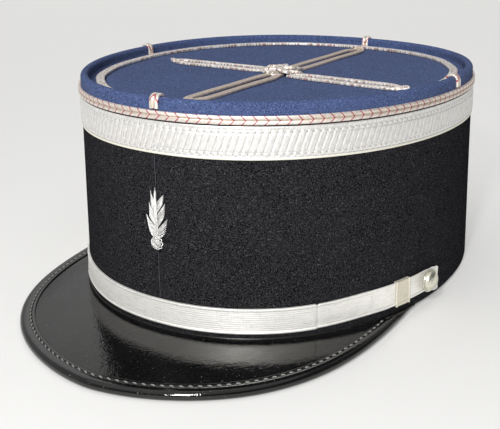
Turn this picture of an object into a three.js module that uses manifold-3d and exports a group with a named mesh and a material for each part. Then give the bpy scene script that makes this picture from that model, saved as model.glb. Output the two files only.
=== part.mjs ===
// Kepi cap: a stiff oval crown in black cloth with a blue top, silver lace and braid, a glossy
// leather peak with a bound edge, and a false chin strap held by two buttons.
// Millimetres. +Z is up, -Y is the front and +X is the wearer's left. The pieces are drawn round a
// crown that stands on the plane of its lower edge. The whole cap is then leant onto its peak and
// the back of its lower edge, as it lies on a table, with the origin under its middle.
import * as THREE from 'three';
import { mergeVertices } from 'three/addons/utils/BufferGeometryUtils.js';
import Module from 'manifold-3d';

const GAP = 0.3;               // clearance between pieces that lie on each other

// The crown, measured over its outer face.
const HEAD_LENGTH = 203;       // lower edge, front to back
const HEAD_WIDTH = 174;        // lower edge, side to side
const LENGTH_TAPER = 4;        // how much shorter the rim is than the lower edge
const WIDTH_TAPER = 6;         // how much narrower the rim is than the lower edge
const TOP_LENGTH = HEAD_LENGTH - LENGTH_TAPER;
const TOP_WIDTH = HEAD_WIDTH - WIDTH_TAPER;
const TOP_SHIFT = 1;           // how far the rim's centre lies in front of the lower edge's
const FRONT_HEIGHT = 96;       // lower edge to the crest of the rim, at the front
const BACK_HEIGHT = 91;        // the same at the back
const OVAL_POWER = 2.12;       // 2 is a plain oval, more is squarer
const EGG = 0.06;              // share by which the crown widens from its middle to its back
const WALL = 3;                // stiffened cloth of the wall

// The blue top: a raised rim round a sunken panel.
const RIM_THICKNESS = 3.5;
const RIM_FILLET = 1.6;        // inside, between the rim and the panel
const TOP_RECESS = 5;          // crest of the rim down to the panel
const PANEL_THICKNESS = 2.5;

// Lace and braid.
const BRAID_WIDTH = 3.8;
const BRAID_THICKNESS = 1.5;
const RIM_REVEAL = 4.5;        // blue cloth that shows above the braid
const LACE_REVEAL = 1;         // black cloth that shows between braid and lace
const LACE_WIDTH = 12.3;
const LACE_THICKNESS = 0.9;
const RING_INSET = 8.5;        // outside of the rim in to the middle of the ring of braid
const TAB_THICKNESS = 1;

// The cross of doubled braid on the panel, and the knot at its centre.
const ARM_SPACING = 6.2;       // between the middles of an arm's two braids
const ARM_POINT = 12;          // length over which the two braids close to a point
const ARM_THICKNESS = 1.5;
const ARM_BRAID_WIDTH = 3.8;
const KNOT_RADIUS = 10;
const KNOT_CORD = 1.9;         // thickness of the knotted cord
const KNOT_LOOP = 0.72;        // size of the four loops as a share of the knot's round
const KNOT_SHIFT = new THREE.Vector2(4.7, -6.5);

// The peak.
const PEAK_REACH = 45.4;       // how far its edge stands in front of the crown
const PEAK_INSET = 6.6;        // half of the crown's width less half of the peak's
const PEAK_TURN = 24;          // its widest points lie this far in front of the crown's centre
const PEAK_POWER = 1.68;       // of its outline, where 2 is a plain oval
const PEAK_SHOULDER = 0.53;    // how much fuller the outline is towards the front corners
const PEAK_THICKNESS = 2;
const PEAK_SIDE_RISE = 1.9;    // height that the outline's sides climb to
const PEAK_FRONT_DROP = 1.2;   // depth of the edge's middle at the front
const PEAK_BOW = 0.6;          // how far the leather bulges upwards between crown and edge
const PEAK_END = 3.5;          // width left where the crescent runs out at the crown's side
const BINDING_THICKNESS = 0.7;
const BINDING_OVERLAP = 4.6;   // how far the binding's two flaps reach in over the leather

// The false chin strap, with a keeper and a button at each end.
const STRAP_WIDTH = 10.5;
const STRAP_THICKNESS = 0.9;
const STRAP_SEAT = 3.45;       // lower edge of the strap above the crown's, at the front
const STRAP_RISE = 1.5;        // how much higher the strap runs at its ends
const STRAP_REACH = 83;        // degrees from the front to each end
const STRAP_END_WIDTH = 12.4;  // the squared ends are wider
const KEEPER_ANGLE = 67.8;     // degrees from the front
const KEEPER_LENGTH = 8.3;
const KEEPER_THICKNESS = 0.5;
const BUTTON_ANGLE = 77;       // degrees from the front
const BUTTON_DIAMETER = 10.4;
const BUTTON_DOME = 2.9;       // height of the domed face over the button's edge
const BUTTON_BACK = 1;         // length of the shank between strap and button
const SHANK_DIAMETER = 3;

// The embroidered flames over a ball, at the front.
const BADGE_HEIGHT = 26;
const BADGE_BASE = 34.6;       // lower edge of the crown up to the foot of the badge
const BADGE_THICKNESS = 1;
const BALL_DIAMETER = 5.6;
const BALL_DOME = 1.8;

const ROUND_STEPS = 64;        // facets round the crown

const BLACK_CLOTH = { color: 0x14141a, roughness: 0.95, metalness: 0 };
const BLUE_CLOTH = { color: 0x26355f, roughness: 0.92, metalness: 0 };
const SILVER_LACE = { color: 0xd6d4cf, roughness: 0.45, metalness: 0.3 };
const SILVER_BRAID = { color: 0xc2b5a5, roughness: 0.5, metalness: 0.3 };
const SILVER_THREAD = { color: 0xe2dfdc, roughness: 0.4, metalness: 0.4 };
const STRAP_LACE = { color: 0xdcd9d0, roughness: 0.45, metalness: 0.3 };
const PATENT_LEATHER = { color: 0x08080a, roughness: 0.08, metalness: 0 };
const BUTTON_METAL = { color: 0xcfc8ae, roughness: 0.25, metalness: 0.9 };

// Section of the two-ridged braid, across its width and up from what it lies on, as shares of
// the braid's width and thickness.
const BRAID_SECTION = [
  { across: 0, up: 0 },
  { across: 0.06, up: 0.7 },
  { across: 0.25, up: 1 },
  { across: 0.5, up: 0.6 },
  { across: 0.75, up: 1 },
  { across: 0.94, up: 0.7 },
  { across: 1, up: 0 },
];

// Where the four tabs cross the rim, in degrees from the front towards the wearer's left.
const TABS = [
  { side: 'front', angle: 1 },
  { side: 'left', angle: 91 },
  { side: 'back', angle: 178.4 },
  { side: 'right', angle: -94.5 },
];

// The cross's arms. Lean turns an arm off its axis, in degrees, and aside is how far it lies beside
// the knot's middle. Reach is the arm's length from there as a share of half of the ring's width.
const ARMS = [
  { side: 'front', axis: -90, lean: 0, aside: 0, reach: 0.88 },
  { side: 'left', axis: 0, lean: -4.4, aside: -3.2, reach: 0.89 },
  { side: 'back', axis: 90, lean: 0, aside: 0, reach: 1.035 },
  { side: 'right', axis: 180, lean: 0, aside: -3.2, reach: 0.885 },
];

// The badge's flames, from the ball up. Root and length are shares of the badge's height, width
// is a share of the flame's own length, and each leaning flame has a mirrored twin.
const FLAMES = [
  { root: 0.16, length: 0.55, width: 0.3, lean: 0 },
  { root: 0.2, length: 0.2, width: 0.34, lean: 52 },
  { root: 0.23, length: 0.3, width: 0.27, lean: 36 },
  { root: 0.32, length: 0.32, width: 0.24, lean: 28 },
  { root: 0.43, length: 0.32, width: 0.23, lean: 21 },
  { root: 0.54, length: 0.31, width: 0.21, lean: 15 },
  { root: 0.5, length: 0.5, width: 0.16, lean: 0 },
];

const wasm = await Module();
wasm.setup();

const lerp = THREE.MathUtils.lerp;
const radians = THREE.MathUtils.degToRad;
const fromFront = (degrees) => radians(degrees - 90);

// Seams and poles are merged, so that a piece is one closed skin.
function closeSkin(geometry) {
  geometry.deleteAttribute('normal');
  geometry.deleteAttribute('uv');
  const skin = mergeVertices(geometry);
  skin.computeVertexNormals();
  return skin;
}

function moveVertices(geometry, place) {
  const position = geometry.attributes.position;
  for (let i = 0; i < position.count; i += 1) {
    const moved = place(position.getX(i), position.getY(i), position.getZ(i));
    position.setXYZ(i, moved.x, moved.y, moved.z);
  }
  return closeSkin(geometry);
}

function joinSolids(geometries) {
  const solids = geometries.map((geometry) => new wasm.Manifold(new wasm.Mesh({
    numProp: 3,
    vertProperties: geometry.attributes.position.array,
    triVerts: new Uint32Array(geometry.index.array),
  })));
  const mesh = solids.reduce((whole, solid) => whole.add(solid)).getMesh();
  const joined = new THREE.BufferGeometry();
  joined.setAttribute('position', new THREE.BufferAttribute(mesh.vertProperties, 3));
  joined.setIndex(new THREE.BufferAttribute(mesh.triVerts, 1));
  joined.computeVertexNormals();
  return joined;
}

function makeMesh(name, geometry, finish) {
  const mesh = new THREE.Mesh(geometry, new THREE.MeshStandardMaterial(finish));
  mesh.name = name;
  return mesh;
}

// Height of the rim's crest over the lower edge. The rim's plane falls towards the back.
function rimHeight(y) {
  return lerp(FRONT_HEIGHT, BACK_HEIGHT, (y + HEAD_LENGTH / 2) / HEAD_LENGTH);
}

const signedPower = (value, power) => Math.sign(value) * Math.abs(value) ** power;

// A point of the crown's outline. Share runs from 0 at the lower edge to 1 at the rim, and out
// is the distance outside the wall's outer face.
function outlinePoint(angle, share, out) {
  const halfLength = lerp(HEAD_LENGTH, TOP_LENGTH, share) / 2 + out;
  const halfWidth = lerp(HEAD_WIDTH, TOP_WIDTH, share) / 2 + out;
  const sine = Math.sin(angle);
  const x = halfWidth * signedPower(Math.cos(angle), 2 / OVAL_POWER) * (1 + EGG * sine);
  const y = halfLength * signedPower(sine, 2 / OVAL_POWER) - TOP_SHIFT * share;
  return new THREE.Vector2(x, y);
}

// A point beside the wall, by its height over the lower edge.
function wallPoint(angle, height, out) {
  const rim = rimHeight(outlinePoint(angle, 1, 0).y);
  const flat = outlinePoint(angle, height / rim, out);
  return new THREE.Vector3(flat.x, flat.y, height);
}

// A point near the rim, by its depth under the crest's plane.
function rimPoint(angle, drop, out) {
  const flat = outlinePoint(angle, 1 - (2 * drop) / (FRONT_HEIGHT + BACK_HEIGHT), out);
  return new THREE.Vector3(flat.x, flat.y, rimHeight(flat.y) - drop);
}

// The turn round the outline that covers a given length of it.
function turnFor(length, angle, share) {
  const step = 0.01;
  const before = outlinePoint(angle - step, share, 0);
  return (length * 2 * step) / outlinePoint(angle + step, share, 0).distanceTo(before);
}

// A profile is turned on a drum of this radius, and then laid round the oval crown.
const DRUM = 100;

function layRound(profile, place) {
  const points = profile.map(({ out, level }) => new THREE.Vector2(DRUM + out, level));
  const turned = new THREE.LatheGeometry(points, ROUND_STEPS);
  turned.rotateX(Math.PI / 2);
  return moveVertices(turned, (x, y, z) => place(Math.atan2(y, x), z, Math.hypot(x, y) - DRUM));
}

// A shape is drawn out in steps, and each of its points is then put in place by its two
// coordinates and by how far along it lies, from 0 to 1.
function sweep(shape, steps, place) {
  const drawn = new THREE.ExtrudeGeometry(shape, { depth: 1, steps, bevelEnabled: false });
  return moveVertices(drawn, place);
}

const shapeOf = (points) => new THREE.Shape(points.map(([x, y]) => new THREE.Vector2(x, y)));

// A group that stands on the wall, with its +Z pointing out of it and its +Y up along it.
function standOnWall(angle, height, out) {
  const step = 0.01;
  const along = wallPoint(angle + step, height, out).sub(wallPoint(angle - step, height, out));
  const up = wallPoint(angle, height + 1, out).sub(wallPoint(angle, height - 1, out));
  along.normalize();
  const outward = along.clone().cross(up).normalize();
  const group = new THREE.Group();
  group.position.copy(wallPoint(angle, height, out));
  const axes = new THREE.Matrix4().makeBasis(along, outward.clone().cross(along), outward);
  group.quaternion.setFromRotationMatrix(axes);
  return group;
}

// The joint between the black wall and the blue top lies behind the braid's lower edge.
const JOINT_DROP = RIM_REVEAL + BRAID_WIDTH;

function makeWall() {
  const profile = [
    { out: 0, level: 0 },
    { out: 0, level: 1 },
    { out: -WALL, level: 1 },
    { out: -WALL, level: 0 },
    { out: 0, level: 0 },
  ];
  const place = (angle, level, out) => {
    const top = rimPoint(angle, JOINT_DROP + GAP / 2, 0).z;
    return wallPoint(angle, level * top, out);
  };
  return makeMesh('crown_wall', layRound(profile, place), BLACK_CLOTH);
}

// The rim's surface from the foot of its outer face, over the crest and down to the panel. Each
// point has the direction that the surface faces there.
function rimSurface(foot) {
  const radius = RIM_THICKNESS / 2;
  const surface = [{ out: 0, drop: foot, faceOut: 1, faceUp: 0 }];
  const crestSteps = 5;
  for (let i = 0; i <= crestSteps; i += 1) {
    const turn = (Math.PI * i) / crestSteps;
    surface.push({
      out: radius * (Math.cos(turn) - 1),
      drop: radius * (1 - Math.sin(turn)),
      faceOut: Math.cos(turn),
      faceUp: Math.sin(turn),
    });
  }
  const filletSteps = 2;
  for (let i = 0; i <= filletSteps; i += 1) {
    const turn = (Math.PI / 2) * (i / filletSteps);
    surface.push({
      out: -RIM_THICKNESS - RIM_FILLET * (1 - Math.cos(turn)),
      drop: TOP_RECESS - RIM_FILLET * (1 - Math.sin(turn)),
      faceOut: -Math.cos(turn),
      faceUp: Math.sin(turn),
    });
  }
  return surface;
}

function makeTop() {
  const under = TOP_RECESS + PANEL_THICKNESS;
  const foot = JOINT_DROP - GAP / 2;
  const profile = [
    { out: -DRUM, level: -under },
    { out: -WALL - GAP, level: -under },
    { out: -WALL, level: -foot },
    ...rimSurface(foot).map(({ out, drop }) => ({ out, level: -drop })),
    { out: -DRUM, level: -TOP_RECESS },
  ];
  const panelEdge = -RIM_THICKNESS - RIM_FILLET;
  const centreY = -TOP_SHIFT;
  const place = (angle, level, out) => {
    if (out > panelEdge - 1) return rimPoint(angle, -level, out);
    return new THREE.Vector3(0, centreY, rimHeight(centreY) + level);
  };
  return makeMesh('crown_top', layRound(profile, place), BLUE_CLOTH);
}

function makeCrownBraid() {
  const profile = BRAID_SECTION.map(({ across, up }) => ({
    out: GAP + up * BRAID_THICKNESS,
    level: -JOINT_DROP + across * BRAID_WIDTH,
  }));
  profile.push(profile[0]);
  const place = (angle, level, out) => rimPoint(angle, -level, out);
  return makeMesh('crown_braid', layRound(profile, place), SILVER_BRAID);
}

function makeLace() {
  const top = -JOINT_DROP - LACE_REVEAL;
  const bottom = top - LACE_WIDTH;
  const profile = [
    { out: GAP, level: bottom },
    { out: GAP + LACE_THICKNESS, level: bottom },
    { out: GAP + LACE_THICKNESS, level: top },
    { out: GAP, level: top },
    { out: GAP, level: bottom },
  ];
  const place = (angle, level, out) => rimPoint(angle, -level, out);
  return makeMesh('lace_band', layRound(profile, place), SILVER_LACE);
}

function makeRing() {
  const profile = BRAID_SECTION.map(({ across, up }) => ({
    out: -RING_INSET + (0.5 - across) * BRAID_WIDTH,
    level: -TOP_RECESS + GAP + up * BRAID_THICKNESS,
  }));
  profile.push(profile[0]);
  const place = (angle, level, out) => rimPoint(angle, -level, out);
  return makeMesh('top_ring_braid', layRound(profile, place), SILVER_BRAID);
}

// A tab of braid runs from the crown's braid over the rim to the ring on the panel.
function makeTab({ side, angle }) {
  const surface = rimSurface(RIM_REVEAL - GAP);
  const ringEdge = -RING_INSET + BRAID_WIDTH / 2 + GAP;
  surface.push({ out: ringEdge, drop: TOP_RECESS, faceOut: 0, faceUp: 1 });
  const offset = (distance) => surface.map(({ out, drop, faceOut, faceUp }) => (
    [out + faceOut * distance, -drop + faceUp * distance]));
  const shape = shapeOf([...offset(GAP + TAB_THICKNESS), ...offset(GAP).reverse()]);
  const middle = fromFront(angle);
  const turn = turnFor(BRAID_WIDTH, middle, 1);
  const place = (out, level, along) => rimPoint(middle + (0.5 - along) * turn, -level, out);
  return makeMesh(`braid_tab_${side}`, sweep(shape, 2, place), SILVER_BRAID);
}

// One arm of the cross: two braids side by side that close to a point at their outer end.
function makeArm({ side, axis, lean, aside, reach }) {
  const direction = radians(axis);
  const ringInside = outlinePoint(direction, 1, -RING_INSET - BRAID_WIDTH / 2).length();
  const start = KNOT_RADIUS + GAP;
  const end = ringInside * reach;
  const shape = shapeOf(BRAID_SECTION.map(({ across, up }) => (
    [(across - 0.5) * ARM_BRAID_WIDTH, up * ARM_THICKNESS])));
  const steps = 9;
  const braids = [-1, 1].map((hand) => sweep(shape, steps, (across, up, share) => {
    const along = lerp(start, end, share);
    const closing = THREE.MathUtils.smoothstep(end - along, 0, ARM_POINT);
    const tip = lerp(0.25, 1, THREE.MathUtils.smoothstep(end - along, 0, ARM_POINT / 3));
    const sideways = aside + (hand * closing * ARM_SPACING) / 2 + across * tip;
    return new THREE.Vector3(along, sideways, up);
  }));
  const arm = makeMesh(`cross_arm_${side}`, joinSolids(braids), SILVER_BRAID);
  arm.rotation.z = radians(axis + lean);
  return arm;
}

// A closed cord with four loops, which passes over and under itself in turn.
class KnotCurve extends THREE.Curve {
  getPoint(share) {
    const turn = 2 * Math.PI * share;
    const round = (KNOT_RADIUS - KNOT_CORD / 2) / (1 + KNOT_LOOP);
    const weave = KNOT_CORD * 0.62 * Math.tanh(3 * Math.sin(4 * turn));
    return new THREE.Vector3(
      round * (Math.cos(turn) + KNOT_LOOP * Math.cos(3 * turn)),
      round * (Math.sin(turn) - KNOT_LOOP * Math.sin(3 * turn)),
      weave,
    );
  }
}

function makeKnot() {
  const cordSteps = 72;
  const tube = new THREE.TubeGeometry(new KnotCurve(), cordSteps, KNOT_CORD / 2, 6, true);
  const knot = makeMesh('centre_knot', closeSkin(tube), SILVER_BRAID);
  knot.position.z = KNOT_CORD * 1.12;
  return knot;
}

// Cross and knot lie on the panel, which slopes with the rim.
function makeCross() {
  const cross = new THREE.Group();
  const { x, y } = KNOT_SHIFT;
  cross.position.set(x, y, rimHeight(y) - TOP_RECESS + GAP);
  cross.rotation.x = Math.atan2(BACK_HEIGHT - FRONT_HEIGHT, HEAD_LENGTH);
  cross.add(...ARMS.map(makeArm), makeKnot());
  return cross;
}

// The peak's edge, as the line along the middle of its rolled binding. Turn is measured from
// the front towards the wearer's left.
function peakEdge(turn) {
  const sine = Math.sin(turn);
  const cosine = Math.cos(turn);
  const power = 2 / PEAK_POWER;
  const halfWidth = HEAD_WIDTH / 2 - PEAK_INSET;
  const reach = HEAD_LENGTH / 2 + PEAK_REACH - PEAK_TURN;
  return new THREE.Vector3(
    halfWidth * signedPower(sine, power) * (1 + PEAK_SHOULDER * cosine * cosine),
    -PEAK_TURN - reach * signedPower(cosine, power),
    PEAK_SIDE_RISE - (PEAK_SIDE_RISE + PEAK_FRONT_DROP) * Math.sqrt(Math.abs(cosine)),
  );
}

// The sine of the outline's angle at a given distance in front of the crown's centre.
const frontSine = (forward) => (forward / (HEAD_LENGTH / 2 + PEAK_END)) ** (OVAL_POWER / 2);

// The turn at which the edge has come back to within PEAK_END of the crown.
function findPeakEnd() {
  let outside = 0;
  let inside = Math.PI / 2;
  for (let i = 0; i < 40; i += 1) {
    const turn = (outside + inside) / 2;
    const edge = peakEdge(turn);
    const sine = frontSine(-edge.y);
    const angle = -Math.asin(Math.min(sine, 1));
    const isOutside = sine >= 1 || edge.x > outlinePoint(angle, 0, PEAK_END).x;
    if (isOutside) outside = turn;
    else inside = turn;
  }
  return outside;
}

const PEAK_LAST_TURN = findPeakEnd();
const PEAK_LAST_ANGLE = Math.acos(frontSine(-peakEdge(PEAK_LAST_TURN).y));

// A point of the peak. Side runs from -1 to 1 along the crescent, inward is the distance from
// the edge's line towards the crown, negative outside it, and up is measured from the middle of
// the leather.
function peakPoint(side, inward, up) {
  const turn = side * PEAK_LAST_TURN;
  const edge = peakEdge(turn);
  const step = 0.001;
  const along = peakEdge(turn + step).sub(peakEdge(turn - step)).setZ(0).normalize();
  if (inward < 0) {
    const x = edge.x - along.y * inward;
    return new THREE.Vector3(x, edge.y + along.x * inward, edge.z + up);
  }
  const seat = wallPoint(fromFront(0) + side * PEAK_LAST_ANGLE, 0, GAP);
  const width = Math.hypot(seat.x - edge.x, seat.y - edge.y);
  const share = Math.min(inward / width, 1);
  const point = edge.lerp(seat, share);
  const bow = PEAK_BOW * (width / PEAK_REACH);
  point.z += bow * 4 * share * (1 - share) + up;
  return point;
}

function peakWidth(side) {
  const edge = peakEdge(side * PEAK_LAST_TURN);
  const seat = wallPoint(fromFront(0) + side * PEAK_LAST_ANGLE, 0, GAP);
  return Math.hypot(seat.x - edge.x, seat.y - edge.y);
}

function makePeak() {
  const stations = [0, 0.2, 0.4, 0.6, 0.8, 1];
  const half = PEAK_THICKNESS / 2;
  const shape = shapeOf([
    ...stations.map((share) => [share, -half]),
    ...stations.map((share) => [1 - share, half]),
  ]);
  const place = (share, up, along) => {
    const side = 2 * along - 1;
    return peakPoint(side, share * peakWidth(side), up);
  };
  return makeMesh('peak', sweep(shape, 36, place), PATENT_LEATHER);
}

// The binding is folded round the leather's edge: a roll outside and a flap above and below.
function makeBinding() {
  const inside = PEAK_THICKNESS / 2 + GAP;
  const outside = inside + BINDING_THICKNESS;
  const rollSteps = 6;
  const roll = [];
  for (let i = 0; i <= rollSteps; i += 1) {
    const turn = Math.PI * (i / rollSteps - 0.5);
    roll.push([-outside * Math.cos(turn), outside * Math.sin(turn)]);
  }
  const shape = shapeOf([
    [BINDING_OVERLAP, -outside],
    ...roll,
    [BINDING_OVERLAP, outside],
    [BINDING_OVERLAP, inside],
    [-GAP, inside],
    [-GAP, -inside],
    [BINDING_OVERLAP, -inside],
  ]);
  const place = (inward, up, along) => {
    const side = 2 * along - 1;
    const room = peakWidth(side) * 0.85;
    return peakPoint(side, Math.min(inward, room), up);
  };
  return makeMesh('peak_binding', sweep(shape, 36, place), PATENT_LEATHER);
}

// Height of the strap's middle. It climbs a little towards the keepers.
function strapMiddle(degrees) {
  const climb = THREE.MathUtils.smoothstep(Math.abs(degrees), KEEPER_ANGLE / 2, KEEPER_ANGLE);
  return STRAP_SEAT + STRAP_WIDTH / 2 + STRAP_RISE * climb;
}

// Distance from the wall to the back of the strap, which passes through the keepers.
function strapStandOff(degrees) {
  const lift = KEEPER_THICKNESS + GAP;
  const start = KEEPER_ANGLE - 13;
  return GAP + lift * THREE.MathUtils.smoothstep(Math.abs(degrees), start, start + 8);
}

function makeStrap() {
  const half = STRAP_WIDTH / 2;
  const shape = shapeOf([[0, -half], [STRAP_THICKNESS, -half], [STRAP_THICKNESS, half], [0, half]]);
  const place = (out, across, along) => {
    const degrees = lerp(STRAP_REACH, -STRAP_REACH, along);
    const toEnd = THREE.MathUtils.smoothstep(Math.abs(degrees), KEEPER_ANGLE + 5, STRAP_REACH);
    const flare = lerp(1, STRAP_END_WIDTH / STRAP_WIDTH, toEnd);
    const height = strapMiddle(degrees) + across * flare;
    return wallPoint(fromFront(degrees), height, strapStandOff(degrees) + out);
  };
  return makeMesh('chin_strap', sweep(shape, 48, place), STRAP_LACE);
}

// A flat loop round the strap. Its slot is the strap's section with a clearance all round.
function makeKeeper(name, hand) {
  const slotHeight = STRAP_WIDTH / 2 + GAP;
  const slotDepth = STRAP_THICKNESS + GAP;
  const wall = KEEPER_THICKNESS;
  const shape = shapeOf([
    [-GAP - wall, -slotHeight - wall],
    [slotDepth + wall, -slotHeight - wall],
    [slotDepth + wall, slotHeight + wall],
    [-GAP - wall, slotHeight + wall],
  ]);
  shape.holes.push(shapeOf([
    [-GAP, -slotHeight],
    [-GAP, slotHeight],
    [slotDepth, slotHeight],
    [slotDepth, -slotHeight],
  ]));
  const turn = turnFor(KEEPER_LENGTH, fromFront(KEEPER_ANGLE), 0);
  const spread = THREE.MathUtils.radToDeg(turn);
  const place = (out, across, along) => {
    const degrees = hand * KEEPER_ANGLE + spread * (0.5 - along);
    const height = strapMiddle(degrees) + across;
    return wallPoint(fromFront(degrees), height, strapStandOff(degrees) + out);
  };
  return makeMesh(name, sweep(shape, 3, place), STRAP_LACE);
}

// A dome on a round edge. Profile points give the radius and the height over the foot.
function turnDome(profile, sides) {
  const points = profile.map(([radius, height]) => new THREE.Vector2(radius, height));
  const turned = new THREE.LatheGeometry(points, sides);
  turned.rotateX(Math.PI / 2);
  return closeSkin(turned);
}

function makeButton(name, hand) {
  const radius = BUTTON_DIAMETER / 2;
  const shank = SHANK_DIAMETER / 2;
  const edge = BUTTON_BACK + 0.5;
  const face = [0, 0.25, 0.5, 0.75, 1].map((share) => {
    const turn = (Math.PI / 2) * share;
    return [radius * Math.cos(turn), edge + BUTTON_DOME * Math.sin(turn)];
  });
  face[face.length - 1][0] = 0;
  const profile = [[0, 0], [shank, 0], [shank, BUTTON_BACK], [radius, BUTTON_BACK], ...face];
  const degrees = hand * BUTTON_ANGLE;
  const out = strapStandOff(degrees) + STRAP_THICKNESS + GAP;
  const place = standOnWall(fromFront(degrees), strapMiddle(degrees), out);
  place.add(makeMesh(name, turnDome(profile, 16), BUTTON_METAL));
  return place;
}

// A tongue of flame: a leaf that starts and ends in a point.
function makeFlame({ root, length, width, lean }, hand) {
  const long = BADGE_HEIGHT * length;
  const wide = (long * width) / 2;
  const leaf = new THREE.Shape();
  leaf.moveTo(0, 0);
  leaf.quadraticCurveTo(wide * 2, long * 0.35, 0, long);
  leaf.quadraticCurveTo(-wide * 2, long * 0.35, 0, 0);
  const settings = { depth: BADGE_THICKNESS, curveSegments: 4, bevelEnabled: false };
  const flame = new THREE.ExtrudeGeometry(leaf, settings);
  flame.rotateZ(radians(-hand * lean));
  flame.translate(0, BADGE_HEIGHT * root, 0);
  return closeSkin(flame);
}

function makeBadge() {
  const radius = BALL_DIAMETER / 2;
  const face = [0, 0.33, 0.66, 1].map((share) => {
    const turn = (Math.PI / 2) * share;
    return [radius * Math.cos(turn), BADGE_THICKNESS / 2 + BALL_DOME * Math.sin(turn)];
  });
  face[face.length - 1][0] = 0;
  const ball = turnDome([[0, 0], [radius, 0], ...face], 12);
  ball.translate(0, radius, 0);
  const hands = (flame) => (flame.lean === 0 ? [1] : [-1, 1]);
  const flames = FLAMES.flatMap((flame) => hands(flame).map((hand) => makeFlame(flame, hand)));
  const place = standOnWall(fromFront(0), BADGE_BASE, GAP);
  place.add(makeMesh('flame_badge', joinSolids([ball, ...flames]), SILVER_THREAD));
  return place;
}

// The angle that lays the cap on its peak and on the back of its lower edge.
function restAngle(binding) {
  const heel = HEAD_LENGTH / 2;
  const position = binding.geometry.attributes.position;
  let angle = 0;
  for (let i = 0; i < position.count; i += 1) {
    angle = Math.max(angle, Math.atan2(-position.getZ(i), heel - position.getY(i)));
  }
  return angle;
}

const binding = makeBinding();
const leaning = new THREE.Group();
leaning.rotation.x = -restAngle(binding);
leaning.add(makeWall(), makeTop(), makeLace(), makeCrownBraid(), makeRing());
leaning.add(...TABS.map(makeTab), makeCross());
leaning.add(makePeak(), binding, makeStrap());
leaning.add(makeKeeper('strap_keeper_left', 1), makeKeeper('strap_keeper_right', -1));
leaning.add(makeButton('button_left', 1), makeButton('button_right', -1), makeBadge());

const kepi = new THREE.Group();
kepi.add(leaning);
kepi.updateMatrixWorld(true);
const box = new THREE.Box3().setFromObject(kepi, true);
leaning.position.set(0, -(box.min.y + box.max.y) / 2, -box.min.z);

export default kepi;
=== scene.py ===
"""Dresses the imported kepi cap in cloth, lace, braid and leather, on a pale floor."""

import math
import random

import bmesh
import bpy
import numpy as np
from bpy.props import FloatProperty, FloatVectorProperty
from mathutils import Matrix, Vector


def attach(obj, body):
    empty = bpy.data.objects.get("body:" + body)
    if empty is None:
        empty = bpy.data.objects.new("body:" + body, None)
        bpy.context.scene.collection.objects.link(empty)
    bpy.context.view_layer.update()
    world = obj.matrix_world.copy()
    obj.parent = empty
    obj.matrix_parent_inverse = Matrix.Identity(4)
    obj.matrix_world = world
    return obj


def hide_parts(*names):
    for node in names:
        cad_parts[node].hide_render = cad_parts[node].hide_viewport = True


bl_info = {
    "name": "Kepi cap",
    "version": (1, 0, 0),
    "blender": (4, 5, 0),
    "location": "3D View > Sidebar > Kepi",
    "description": "Builds the cloth, lace, braid and peak of a kepi cap on its packed model",
    "category": "Object",
}

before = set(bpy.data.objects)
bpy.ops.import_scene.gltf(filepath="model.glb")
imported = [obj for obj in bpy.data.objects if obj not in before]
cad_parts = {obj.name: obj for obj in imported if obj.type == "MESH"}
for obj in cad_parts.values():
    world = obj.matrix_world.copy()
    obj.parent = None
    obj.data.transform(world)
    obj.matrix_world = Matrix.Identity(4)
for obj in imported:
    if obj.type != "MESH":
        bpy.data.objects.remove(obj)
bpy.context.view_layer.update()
BODY = "root"
LAY = "lay"
FLOOR_RADIUS = 6.0

# Lengths of the cap in millimetres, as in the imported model. The shapes are worked out on the
# upright cap: its lower edge is the plane z = 0, -Y is the front and +X the wearer's left.
GAP = 0.3
HEAD_LENGTH = 203.0
HEAD_WIDTH = 174.0
TOP_LENGTH = 199.0
TOP_WIDTH = 168.0
TOP_SHIFT = 1.0
FRONT_HEIGHT = 96.0
BACK_HEIGHT = 91.0
OVAL_POWER = 2.12
EGG = 0.06
WALL = 3.0
WALL_EDGE = 0.9
RIM_THICKNESS = 3.5
RIM_FILLET = 1.6
TOP_RECESS = 5.0
PANEL_THICKNESS = 2.5
BRAID_WIDTH = 3.8
BRAID_THICKNESS = 1.5
BRAID_STEP = 0.6
RIM_REVEAL = 4.5
JOINT_DROP = RIM_REVEAL + BRAID_WIDTH
LACE_REVEAL = 1.0
LACE_WIDTH = 12.3
LACE_SLOPE = 0.38
RING_INSET = 8.5
TAB_THICKNESS = 1.0
ARM_POINT = 12.0
ARM_THICKNESS = 1.05
ARM_BRAID_WIDTH = 3.2
FOLD_BRAID = (2.3, 0.9)
KNOT_RADIUS = 10.0
KNOT_CORD = 1.9
KNOT_LOOP = 0.72
KNOT_SHIFT = (4.7, -6.5)
KNOT_BRAID = (3.0, 1.2)
PEAK_REACH = 45.4
PEAK_INSET = 6.6
PEAK_TURN = 24.0
PEAK_POWER = 1.68
PEAK_SHOULDER = 0.53
PEAK_THICKNESS = 2.0
PEAK_SIDE_RISE = 1.9
PEAK_FRONT_DROP = 1.2
PEAK_BOW = 0.6
PEAK_END = 3.5
PEAK_STEP = 0.8
BINDING_THICKNESS = 0.7
BINDING_OVERLAP = 4.6
STRAP_WIDTH = 10.5
STRAP_THICKNESS = 0.9
STRAP_SEAT = 3.45
STRAP_RISE = 1.5
STRAP_REACH = 83.0
KEEPER_ANGLE = 67.8
KEEPER_LENGTH = 8.3
KEEPER_THICKNESS = 0.5
BUTTON_ANGLE = 77.0
BUTTON_DIAMETER = 10.4
BUTTON_DOME = 2.9
BUTTON_BACK = 1.0
SHANK_DIAMETER = 3.0
BADGE_BASE = 34.6
BADGE_ANGLE = 0.45
BADGE_WIRE = 0.24
BADGE_SEED = 7
SEAM_ANGLE = 0.25
BALL_DIAMETER = 5.6
BALL_DOME = 1.8

# The cap leans onto its peak, and its origin lies under its middle.
REST_TURN = math.radians(0.7498945)
REST_SHIFT = np.array([0.0, 23.64031, 1.328407])

FRONT = -math.pi / 2
BACK = math.pi / 2

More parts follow.
